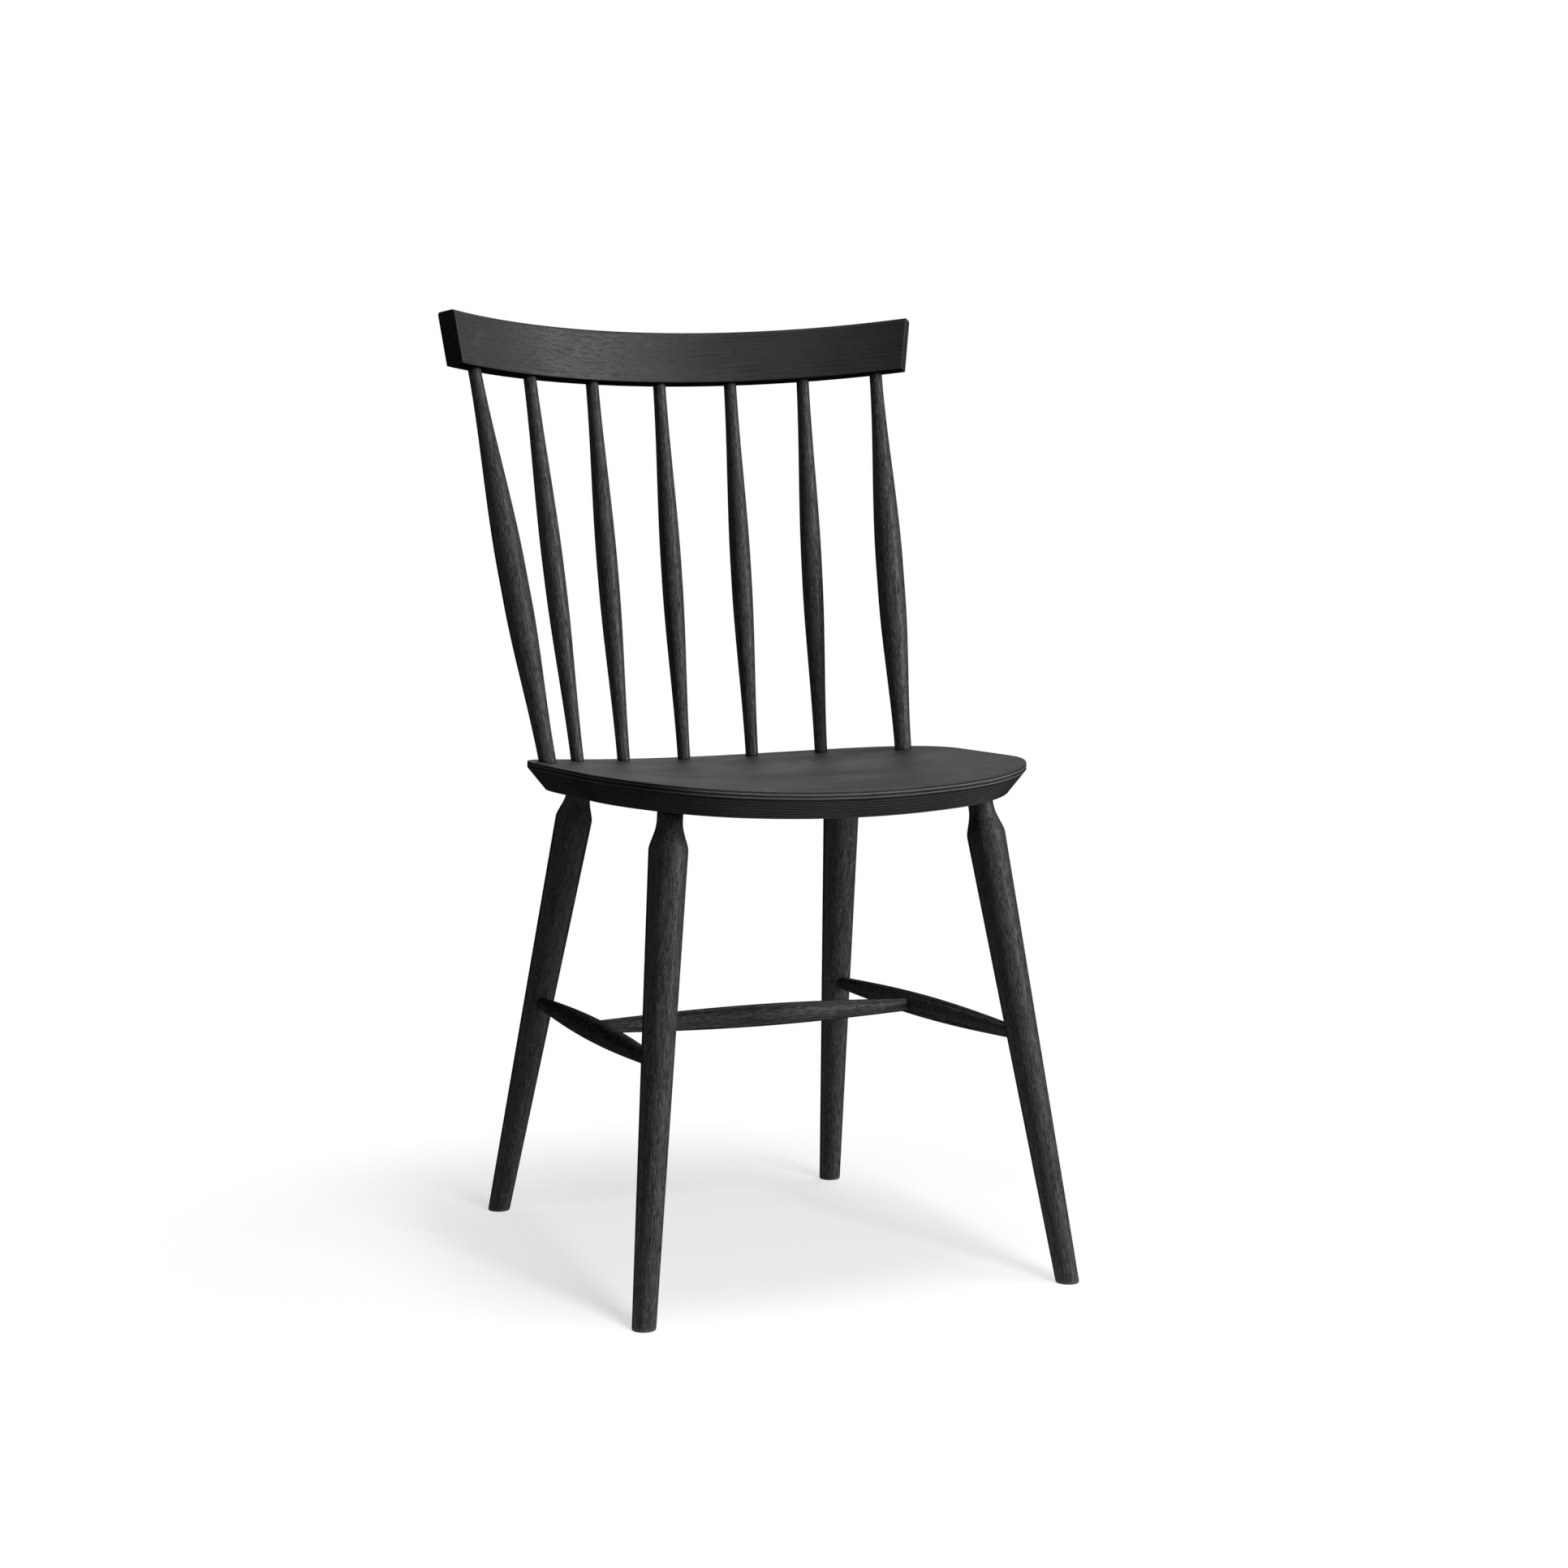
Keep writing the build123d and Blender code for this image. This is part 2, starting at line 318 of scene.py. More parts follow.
class Desk:
    """Adds and links the nodes of one tree."""

    # Numbers of the Mix node's colour sockets, which share their names with its other kinds.
    mix_inputs = (6, 7)
    mix_output = 2

    def __init__(self, tree: bpy.types.NodeTree) -> None:
        """Desk for a tree, which starts empty."""
        self.tree = tree
        tree.nodes.clear()

    def add(self, kind: str, **settings: object) -> bpy.types.Node:
        """New node.

        Args:
            kind: Blender's name of its kind.
            settings: Its settings, by name.

        Returns:
            The node.
        """
        node = self.tree.nodes.new(kind)
        for key, value in settings.items():
            setattr(node, key, value)
        return node

    def feed(self, socket: bpy.types.NodeSocket, value: object) -> None:
        """Links a socket to another, or sets it to a plain value.

        Args:
            socket: The input socket.
            value: What goes into it.
        """
        if isinstance(value, bpy.types.NodeSocket):
            self.tree.links.new(value, socket)
        else:
            socket.default_value = value

    def math(self, operation: str, *values: object, clamp: bool = False) -> bpy.types.NodeSocket:
        """Result of a sum on sockets and numbers.

        Args:
            operation: Blender's name of the sum.
            values: What goes in, in order.
            clamp: Whether the result stays within 0 and 1.

        Returns:
            The socket that holds the result.
        """
        node = self.add("ShaderNodeMath", operation=operation, use_clamp=clamp)
        for socket, value in zip(node.inputs, values):
            self.feed(socket, value)
        return node.outputs[0]

    def spread(self, value: bpy.types.NodeSocket, low: float, high: float,
               to_low: float = 0.0, to_high: float = 1.0) -> bpy.types.NodeSocket:
        """Value eased from one range to another.

        Args:
            value: Socket that varies.
            low: Value that becomes to_low.
            high: Value that becomes to_high.
            to_low: Least result.
            to_high: Greatest result.

        Returns:
            The socket that holds the result.
        """
        node = self.add("ShaderNodeMapRange", interpolation_type="SMOOTHSTEP")
        for socket, part in zip(node.inputs, (value, low, high, to_low, to_high)):
            self.feed(socket, part)
        return node.outputs[0]

    def distance(self, place: bpy.types.NodeSocket, centre: Sequence[float]) -> bpy.types.NodeSocket:
        """Distance between a varying place and a fixed one.

        Args:
            place: Socket of the varying place.
            centre: The fixed one.

        Returns:
            The socket that holds the distance.
        """
        node = self.add("ShaderNodeVectorMath", operation="DISTANCE")
        self.feed(node.inputs[0], place)
        node.inputs[1].default_value = centre
        return node.outputs["Value"]

    def noise(self, grain: bpy.types.NodeSocket, pattern: Pattern) -> bpy.types.NodeSocket:
        """Noise on wood coordinates.

        Args:
            grain: Socket of the coordinates.
            pattern: How the noise runs.

        Returns:
            The socket of its value, from 0 to 1.
        """
        scaled = self.add("ShaderNodeVectorMath", operation="MULTIPLY")
        self.feed(scaled.inputs[0], grain)
        scaled.inputs[1].default_value = pattern.stretch
        node = self.add("ShaderNodeTexNoise", noise_dimensions="3D")
        self.feed(node.inputs["Vector"], scaled.outputs[0])
        node.inputs["Scale"].default_value = 1.0
        node.inputs["Detail"].default_value = pattern.detail
        node.inputs["Roughness"].default_value = pattern.roughness
        return node.outputs["Fac"]

    def mask(self, grain: bpy.types.NodeSocket, pattern: Pattern) -> bpy.types.NodeSocket:
        """Socket of a pattern on wood coordinates, eased from 0 to 1 over its span."""
        return self.spread(self.noise(grain, pattern), *pattern.span)

    def mix(self, share: bpy.types.NodeSocket, first: object, second: object) -> bpy.types.NodeSocket:
        """Colour between two others.

        Args:
            share: How much of the second.
            first: Colour or socket at 0.
            second: Colour or socket at 1.

        Returns:
            The socket of the mixed colour.
        """
        node = self.add("ShaderNodeMix", data_type="RGBA")
        self.feed(node.inputs["Factor"], share)
        for number, colour in zip(self.mix_inputs, (first, second)):
            self.feed(node.inputs[number], colour)
        return node.outputs[self.mix_output]

    def mark(self, mark: Mark) -> bpy.types.NodeSocket:
        """Socket of a value that the points of the mesh hold."""
        node = self.add("ShaderNodeAttribute", attribute_name=mark.value)
        return node.outputs["Vector" if mark is Mark.GRAIN else "Fac"]

    def group(self, tree: bpy.types.NodeTree, **values: object) -> bpy.types.Node:
        """Placed node group.

        Args:
            tree: The group.
            values: What its inputs take, by name, an underscore standing for a space.

        Returns:
            The node.
        """
        node = self.add("ShaderNodeGroup", node_tree=tree)
        for key, value in values.items():
            self.feed(node.inputs[key.replace("_", " ")], value)
        return node


class Effect:
    """Shader node group that several finishes share."""

    def __init__(self, name: str, inputs: dict[str, str], outputs: Sequence[str]) -> None:
        """Empty group with its sockets.

        Args:
            name: Name of the group.
            inputs: Kind of each input socket, by name.
            outputs: Names of the output values.
        """
        self.tree = bpy.data.node_groups.new(name, "ShaderNodeTree")
        self.desk = Desk(self.tree)
        for socket, kind in inputs.items():
            self.tree.interface.new_socket(socket, in_out="INPUT", socket_type=kind)
        for socket in outputs:
            self.tree.interface.new_socket(socket, in_out="OUTPUT", socket_type="NodeSocketFloat")
        self.given = self.desk.add("NodeGroupInput").outputs
        self.result = self.desk.add("NodeGroupOutput").inputs


class StainedGrain(Effect):
    """Growth rings, fibre, open pores and bright flecks of stained wood, from wood coordinates."""

    ring_wander = Pattern((9.0, 9.0, 3.2), 3.0)
    ring_wobble = 6.0
    late_wood = (0.55, 1.0)
    ring_fading = Pattern((40.0, 40.0, 6.0), 2.0, span=(0.35, 0.70))
    fibres = Pattern((700.0, 700.0, 24.0), 4.0, 0.6)
    fibre_middle = 0.5
    pores = Pattern((1100.0, 1100.0, 95.0), 3.0, 0.7, (0.50, 0.66))
    flecks = Pattern((1000.0, 1000.0, 140.0), 3.0, 0.7, (0.54, 0.64))
    clouds = Pattern((14.0, 14.0, 11.0), 2.0, span=(0.30, 0.70))
    cloud_middle = 0.5
    flakes = Pattern((100.0, 100.0, 60.0), 3.0, 0.6, (0.50, 0.66))
    flake_patches = Pattern((20.0, 20.0, 13.0), 1.0, span=(0.50, 0.66))
    flake_gloss = 3.0
    ground_tone = 0.42
    fibre_height = 0.5
    fleck_height = 0.25
    fibre_dulling = 0.6
    pore_dulling = 0.4

    def __init__(self) -> None:
        """Group that gives the tone of the stain, the height of the surface and its dullness."""
        number = "NodeSocketFloat"
        inputs = {"Grain": "NodeSocketVector", "Rings per Metre": number, "Figure": number,
                  "Fibre": number, "Pores": number, "Flecks": number, "Mottle": number, "Flakes": number}
        super().__init__("stained_grain", inputs, ("Tone", "Height", "Dullness"))
        desk, given, grain = self.desk, self.given, self.given["Grain"]
        fibre = desk.noise(grain, self.fibres)
        pore = desk.mask(grain, self.pores)
        flake = desk.math("MULTIPLY", desk.mask(grain, self.flakes), desk.mask(grain, self.flake_patches))
        figure = desk.math("MULTIPLY", self.rings(), given["Figure"])
        streak = desk.math("MULTIPLY", desk.math("SUBTRACT", fibre, self.fibre_middle), given["Fibre"])
        pit = desk.math("MULTIPLY", pore, given["Pores"])
        glint = desk.math("MULTIPLY", desk.mask(grain, self.flecks), given["Flecks"])
        cloud = desk.math("SUBTRACT", desk.mask(grain, self.clouds), self.cloud_middle)
        flaked = desk.math("MULTIPLY", flake, given["Flakes"])
        ground = desk.math("MULTIPLY_ADD", cloud, given["Mottle"], self.ground_tone)
        even = desk.math("ADD", desk.math("SUBTRACT", streak, figure), desk.math("ADD", ground, flaked))
        tone = desk.math("ADD", desk.math("SUBTRACT", even, pit), glint, clamp=True)
        desk.feed(self.result["Tone"], tone)
        fleck_rise = desk.math("MULTIPLY", glint, self.fleck_height)
        raised = desk.math("MULTIPLY_ADD", fibre, self.fibre_height, fleck_rise)
        desk.feed(self.result["Height"], desk.math("SUBTRACT", raised, pit))
        pore_dull = desk.math("MULTIPLY", pore, self.pore_dulling)
        dull = desk.math("MULTIPLY_ADD", fibre, self.fibre_dulling, pore_dull)
        polished = desk.math("MULTIPLY", flaked, self.flake_gloss)
        desk.feed(self.result["Dullness"], desk.math("SUBTRACT", dull, polished))

    def rings(self) -> bpy.types.NodeSocket:
        """Late wood of the growth rings about the pith, which fades in places.

        Returns:
            The socket of a mask from 0 to 1.
        """
        desk, grain = self.desk, self.given["Grain"]
        parts = desk.add("ShaderNodeSeparateXYZ")
        desk.feed(parts.inputs[0], grain)
        squares = [desk.math("MULTIPLY", part, part) for part in parts.outputs[:2]]
        from_pith = desk.math("SQRT", desk.math("ADD", *squares))
        count = desk.math("MULTIPLY", from_pith, self.given["Rings per Metre"])
        wander = desk.noise(grain, self.ring_wander)
        phase = desk.math("MULTIPLY_ADD", wander, self.ring_wobble, count)
        late = desk.spread(desk.math("FRACT", phase), *self.late_wood)
        return desk.math("MULTIPLY", late, desk.mask(grain, self.ring_fading))


class ArrisWearAndSeamShade(Effect):
    """Edges where the stain is rubbed thin, broken up along their length, dark glued seams, and the painted
    shade under the crest rail, which shares the seams' mark.
    """

    breakup = Pattern((160.0, 160.0, 60.0), 3.0)
    rub_span = (0.25, 0.65)
    rub_share = (0.45, 1.0)
    seam_shade_span = (0.2, 0.7)
    seam_shade_share = (1.0, 0.75)

    def __init__(self) -> None:
        """Group that gives masks of worn edges, and of seams together with the painted shade under the crest
        rail.
        """
        number = "NodeSocketFloat"
        inputs = {"Grain": "NodeSocketVector", "Arris": number, "Seam": number}
        super().__init__("arris_wear", inputs, ("Worn", "Soiled"))
        desk, given = self.desk, self.given
        patch = desk.noise(given["Grain"], self.breakup)
        rubbed = desk.spread(patch, *self.rub_span, *self.rub_share)
        desk.feed(self.result["Worn"], desk.math("MULTIPLY", given["Arris"], rubbed))
        # Seams, and the painted shade of the crest rail's underside, darkened a little less in patches.
        soiled = desk.spread(patch, *self.seam_shade_span, *self.seam_shade_share)
        desk.feed(self.result["Soiled"], desk.math("MULTIPLY", given["Seam"], soiled))


class Handling(Effect):
    """Broad cloudy difference of lustre where hands and cloths have been."""

    clouds = Pattern((9.0, 9.0, 5.0), 2.0, span=(0.35, 0.65))

    def __init__(self) -> None:
        """Group that gives a soft mask of polished places."""
        super().__init__("handling", {"Grain": "NodeSocketVector"}, ("Polish",))
        self.desk.feed(self.result["Polish"], self.desk.mask(self.given["Grain"], self.clouds))


@dataclass(frozen=True)
class Effects:
    """The shared node groups.

    Attributes:
        grain: Stained grain.
        wear: Worn arrises, and seams together with the painted shade under the crest rail.
        handling: Places polished by use.
    """

    grain: bpy.types.NodeTree
    wear: bpy.types.NodeTree
    handling: bpy.types.NodeTree

    @classmethod
    def made(cls) -> "Effects":
        """All groups, built once."""
        return cls(StainedGrain().tree, ArrisWearAndSeamShade().tree, Handling().tree)


@dataclass(frozen=True)
class StainedWood:
    """Black stain under a thin matt lacquer, on one kind of wood.

    Attributes:
        name: Name of the material.
        deep: Stain where it has sunk in.
        raised: Stain on hard fibre.
        worn: Edge where the stain is rubbed thin.
        soiled: Dark glued seam where the stain has pooled, and the painted shade under the crest rail.
        rings_per_metre: Growth rings in a metre across the grain.
        figure: Strength of the rings in the colour.
        fibre: Strength of the streaks in the colour.
        pores: Strength of the pores.
        flecks: Strength of the bright flecks.
        mottle: Strength of the cloudy figure.
        flakes: Strength of the light flakes that lie in patches.
        wear: Share of the worn colour on a sharp arris.
        lustre: Least and greatest roughness.
        dulled: Dullness of the grain at the least and the greatest roughness.
        polish: How much dullness handling takes away.
        reflectance: Specular level of the lacquer.
        sheen_slant: Slants between which the matt lacquer loses its sheen, if it does.
        relief: Depth of the grain under the lacquer.
    """

    name: str
    deep: Colour = (0.010, 0.010, 0.010, 1.0)
    raised: Colour = (0.095, 0.095, 0.096, 1.0)
    worn: Colour = (0.170, 0.169, 0.167, 1.0)
    soiled: Colour = (0.006, 0.006, 0.006, 1.0)
    rings_per_metre: float = 120.0
    figure: float = 0.22
    fibre: float = 0.8
    pores: float = 0.30
    flecks: float = 0.45
    mottle: float = 0.12
    flakes: float = 0.0
    wear: float = 0.4
    lustre: tuple[float, float] = (0.32, 0.42)
    dulled: tuple[float, float] = (-0.1, 0.6)
    polish: float = 0.35
    reflectance: float = 0.10
    sheen_slant: tuple[float, float] | None = (0.35, 0.80)
    relief: float = 0.00012

    def material(self, effects: Effects) -> bpy.types.Material:
        """The material, from the shared effects.

        Args:
            effects: Node groups for grain, wear and handling.

        Returns:
            The new material.
        """
        material = bpy.data.materials.new(self.name)
        material.use_nodes = True
        desk = Desk(material.node_tree)
        grain_at = desk.mark(Mark.GRAIN)
        grain = desk.group(effects.grain, Grain=grain_at, Rings_per_Metre=self.rings_per_metre,
                           Figure=self.figure, Fibre=self.fibre, Pores=self.pores,
                           Flecks=self.flecks, Mottle=self.mottle, Flakes=self.flakes)
        wear = desk.group(effects.wear, Grain=grain_at, Arris=desk.mark(Mark.ARRIS),
                          Seam=desk.mark(Mark.SEAM))
        handling = desk.group(effects.handling, Grain=grain_at)
        stain = desk.mix(self.tone(desk, grain.outputs["Tone"]), self.deep, self.raised)
        rubbed = desk.math("MULTIPLY", wear.outputs["Worn"], self.wear)
        edged = desk.mix(rubbed, stain, self.worn)
        shader = desk.add("ShaderNodeBsdfPrincipled")
        # The seam mask darkens glued seams here, and paints shade on the crest rail's underside.
        desk.feed(shader.inputs["Base Color"], desk.mix(wear.outputs["Soiled"], edged, self.soiled))
        dull = desk.math("MULTIPLY_ADD", handling.outputs["Polish"], -self.polish, grain.outputs["Dullness"])
        desk.feed(shader.inputs["Roughness"], desk.spread(dull, *self.dulled, *self.lustre))
        sheen = shader.inputs["Specular IOR Level"]
        sheen.default_value = self.reflectance
        if self.reflectance and self.sheen_slant:
            slant = desk.add("ShaderNodeLayerWeight").outputs["Facing"]
            desk.feed(sheen, desk.spread(slant, *self.sheen_slant, self.reflectance, 0.0))
        bump = desk.add("ShaderNodeBump")
        bump.inputs["Distance"].default_value = self.relief
        desk.feed(bump.inputs["Height"], grain.outputs["Height"])
        desk.feed(shader.inputs["Normal"], bump.outputs["Normal"])
        output = desk.add("ShaderNodeOutputMaterial")
        desk.feed(output.inputs["Surface"], shader.outputs["BSDF"])
        return material

    def tone(self, desk: Desk, grain_tone: bpy.types.NodeSocket) -> bpy.types.NodeSocket:
        """Lightness of the stain, from the grain alone."""
        return grain_tone


@dataclass(frozen=True)
class StainedPlyEdge(StainedWood):
    """Cut edge of the plywood, where light and dark plies take turns.

    Attributes:
        banding: Strength of the plies beside the grain.
        plain_ply: Lightness of a ply that leaves the grain's tone as it is.
    """

    banding: float = 0.9
    plain_ply: float = 0.4

    def tone(self, desk: Desk, grain_tone: bpy.types.NodeSocket) -> bpy.types.NodeSocket:
        """Lightness of the stain, from the ply and a little grain."""
        ply = desk.math("MULTIPLY_ADD", desk.mark(Mark.PLY), self.banding, -self.plain_ply * self.banding)
        return desk.math("ADD", ply, grain_tone, clamp=True)


def wood_place(seed: int) -> Array:
    """Where in a log a piece is cut from: its offset from the pith and along the trunk.

    Args:
        seed: Number of the piece.

    Returns:
        Offset of its wood coordinates.
    """
    draw = np.random.default_rng(seed)
    turn = draw.uniform(0.0, math.tau)
    away = draw.uniform(*PITH_AWAY)
    return np.array((away * math.cos(turn), away * math.sin(turn), draw.uniform(0.0, TRUNK_LENGTH)))


@dataclass(frozen=True)
class Profile:
    """Radius of a turned piece along its axis.

    Attributes:
        rows: Rows of height and radius, in order of height.
    """

    rows: Array

    @classmethod
    def of(cls, *curves: Array) -> "Profile":
        """Profile of curves in order of height."""
        return cls(np.concatenate([np.asarray(curve, float) for curve in curves]))

    def radius(self, height: Array | float) -> Array:
        """Radius at these heights."""
        return np.interp(height, self.rows[:, 0], self.rows[:, 1])


@dataclass(frozen=True)
class Ending:
    """How a turned piece ends.

    Attributes:
        near: Height on the axis where it meets what holds it.
        gap: Distance of points from the surface that it meets.
        ease: How far its arris is eased there.
        tip: Height of its tenon's tip past the seam, or None for a flat foot.
    """

    near: float
    gap: Gap
    ease: float
    tip: float | None = None


@dataclass
class Turning:
    """One turned piece about the line from its foot to its head.

    Attributes:
        name: Name of its node.
        foot: Start of its axis.
        head: Point that its axis goes towards.
        profile: Its radius along the axis.
        low: How it ends at the foot.
        high: How it ends at the head.
        seed: Number that its wood is drawn from.
        around: Points around it.
        ring_step: Distance between its rings.
        search: How far along the axis a seam may lie from the height of its ending.
        halvings: How often that search is halved.
        blend: Distance from an end over which the rings turn square to the axis.
        seam_reach: How far a glued seam shows.
        ease_shares: Shares of an eased arris where its rings lie, from the surface outwards.
    """

    name: str
    foot: Array
    head: Array
    profile: Profile
    low: Ending
    high: Ending
    seed: int
    around: int = 56
    ring_step: float = 0.0026
    search: float = 0.011
    halvings: int = 36
    blend: float = 0.05
    seam_reach: float = 0.0016
    ease_shares: tuple[float, ...] = (0.0, 0.12, 0.4, 1.0)

    def __post_init__(self) -> None:
        """Directions of the axis and of the points around it."""
        self.axis = unit(self.head - self.foot)
        across = unit(np.cross(self.axis, (0.0, 1.0, 0.0)))
        beside = np.cross(self.axis, across)
        turn = np.linspace(0.0, math.tau, self.around, endpoint=False)
        self.spokes = np.outer(np.cos(turn), across) + np.outer(np.sin(turn), beside)
        self.round = np.column_stack((np.cos(turn), np.sin(turn)))

    def gap(self, points: Array) -> Array:
        """Distance of points outside this piece's own surface.

        Args:
            points: Rows of X, Y and Z.

        Returns:
            The distance of each, square to the axis.
        """
        height = (points - self.foot) @ self.axis
        near = self.foot + np.outer(height, self.axis)
        return np.linalg.norm(points - near, axis=1) - self.profile.radius(height)

    def ring(self, heights: Array, shrink: float = 0.0) -> Array:
        """Points around the piece at these heights, drawn in by shrink."""
        radius = self.profile.radius(heights) - shrink
        return self.foot + np.outer(heights, self.axis) + radius[:, None] * self.spokes

    def seam(self, ending: Ending, rising: bool, away: float, shrink: float) -> Array:
        """Heights around the piece at a distance from the surface that it ends at.

        Args:
            ending: The end.
            rising: Whether the surface falls behind as the height grows.
            away: Distance from the surface.
            shrink: How far the points are drawn in.

        Returns:
            A height for each point around the piece.
        """
        below = np.full(self.around, ending.near - self.search)
        above = np.full(self.around, ending.near + self.search)
        for _ in range(self.halvings):
            middle = (below + above) / 2
            outside = ending.gap(self.ring(middle, shrink)) > away
            past = outside if rising else ~outside
            above = np.where(past, middle, above)
            below = np.where(past, below, middle)
        return (below + above) / 2

    def eased(self, ending: Ending, rising: bool) -> list[tuple[Array, float]]:
        """Rings of the eased arris at an end, from the surface outwards.

        Args:
            ending: The end.
            rising: Whether the surface falls behind as the height grows.

        Returns:
            Heights around each ring, and how far it is drawn in.
        """
        rings = []
        for share in self.ease_shares:
            shrink = ending.ease * (1.0 - math.sqrt(1.0 - (1.0 - share) ** 2))
            rings.append((self.seam(ending, rising, share * ending.ease, shrink), shrink))
        return rings

    def between(self, low: Array, high: Array) -> list[Array]:
        """Heights of the rings between two ends, square to the axis away from them.

        Args:
            low: Heights around the lower end.
            high: Heights around the upper end.

        Returns:
            Heights around each ring.
        """
        start, end = low.mean(), high.mean()
        count = max(2, round((end - start) / self.ring_step))
        rings = []
        for level in np.linspace(start, end, count + 1)[1:-1]:
            near_low = smooth(np.array(1.0 - (level - start) / self.blend))
            near_high = smooth(np.array(1.0 - (end - level) / self.blend))
            rings.append(level + (low - start) * near_low + (high - end) * near_high)
        return rings

    def rings(self) -> Iterator[tuple[Array, float, float]]:
        """Every ring from the lowest to the highest.

        Yields:
            Heights around the ring, how far it is drawn in, and how sharp an edge it lies on.
        """
        low = self.eased(self.low, True)
        high = self.eased(self.high, False)
        if self.low.tip is not None:
            yield np.full(self.around, self.low.tip), self.low.ease, 0.0
        for heights, shrink in low:
            yield heights, shrink, 1.0 - shrink / self.low.ease if self.low.tip is None else 0.0
        for heights in self.between(low[-1][0], high[-1][0]):
            yield heights, 0.0, 0.0
        for heights, shrink in reversed(high):
            yield heights, shrink, 0.0
        if self.high.tip is not None:
            yield np.full(self.around, self.high.tip), self.high.ease, 0.0

    def seam_mark(self, points: Array) -> Array:
        """How close points are to a glued seam.

        Args:
            points: Rows of X, Y and Z.

        Returns:
            Values from 0 to 1.
        """
        mark = np.zeros(len(points))
        for ending in (self.low, self.high):
            if ending.tip is not None:
                mark = np.maximum(mark, 1.0 - np.abs(ending.gap(points)) / self.seam_reach)
        return np.clip(mark, 0.0, 1.0)

    def build(self, materials: Sequence[bpy.types.Material]) -> bpy.types.Object:
        """The dressed piece.

        Args:
            materials: Its finish.

        Returns:
            The new object.
        """
        shell = Shell(self.name, self.around)
        place = wood_place(self.seed)
        starts = []
        for heights, shrink, arris in self.rings():
            points = self.ring(heights, shrink)
            radius = self.profile.radius(heights) - shrink
            grain = np.column_stack((self.round * radius[:, None], heights)) + place
            starts.append(shell.add(points, grain, arris, self.seam_mark(points)))
        for low, high in zip(starts, starts[1:]):
            shell.bridge(low, high)
        for start, upward in ((starts[0], False), (starts[-1], True)):
            ring = np.concatenate(shell.points)[start:start + self.around]
            middle = ring.mean(axis=0, keepdims=True)
            centre = shell.add(middle, place[None, :])
            shell.fan(start, centre, upward)
        return shell.finish_piece(Slot.TURNED, materials)


@dataclass(frozen=True)
class Corner:
    """Corner of a section.

    Attributes:
        across: Its place across the section.
        up: Its place up the section.
        radius: Radius that it is rounded to.
    """

    across: float
    up: float
    radius: float


@dataclass(frozen=True)
class Section:
    """Points along a section with rounded corners.

    Attributes:
        points: Rows across and up.
        arris: How sharp an edge each point lies on, from 0 to 1.
    """

    points: Array
    arris: Array

    @classmethod
    def through(cls, corners: Sequence[Corner], closed: bool, step: float, bends: int = 5) -> "Section":
        """Section through corners, each rounded by its own arc.

        Args:
            corners: The corners in order; the ends of an open one stay as they are.
            closed: Whether the last corner goes on to the first.
            step: Greatest distance between points on a straight run.
            bends: Steps in each rounded corner.

        Returns:
            The section.
        """
        count = len(corners)
        places = [np.array((corner.across, corner.up)) for corner in corners]
        arcs = []
        for number, corner in enumerate(corners):
            here = places[number]
            if not closed and number in (0, count - 1):
                arcs.append((here[None, :], np.zeros(1)))
                continue
            arrive = unit(here - places[number - 1])
            leave = unit(places[(number + 1) % count] - here)
            turn = math.atan2(arrive[0] * leave[1] - arrive[1] * leave[0], arrive @ leave)
            inward = math.copysign(1.0, turn) * np.array((-arrive[1], arrive[0]))
            start = here - arrive * corner.radius * math.tan(abs(turn) / 2)
            centre = start + inward * corner.radius
            angles = np.linspace(0.0, turn, bends + 1)
            arm = start - centre
            spokes = [(arm[0] * math.cos(a) - arm[1] * math.sin(a),
                       arm[0] * math.sin(a) + arm[1] * math.cos(a)) for a in angles]
            sharp = np.sin(np.linspace(0.0, math.pi, bends + 1))
            arcs.append((centre + np.array(spokes), sharp))
        points, arris = [], []
        for number, (arc, sharp) in enumerate(arcs):
            points.append(arc)
            arris.append(sharp)
            if not closed and number == count - 1:
                break
            after = arcs[(number + 1) % count][0][0]
            steps = max(1, math.ceil(np.linalg.norm(after - arc[-1]) / step))
            shares = np.linspace(0.0, 1.0, steps + 1)[1:-1, None]
            points.append(arc[-1] + shares * (after - arc[-1]))
            arris.append(np.zeros(len(shares)))
        return cls(np.concatenate(points), np.concatenate(arris))


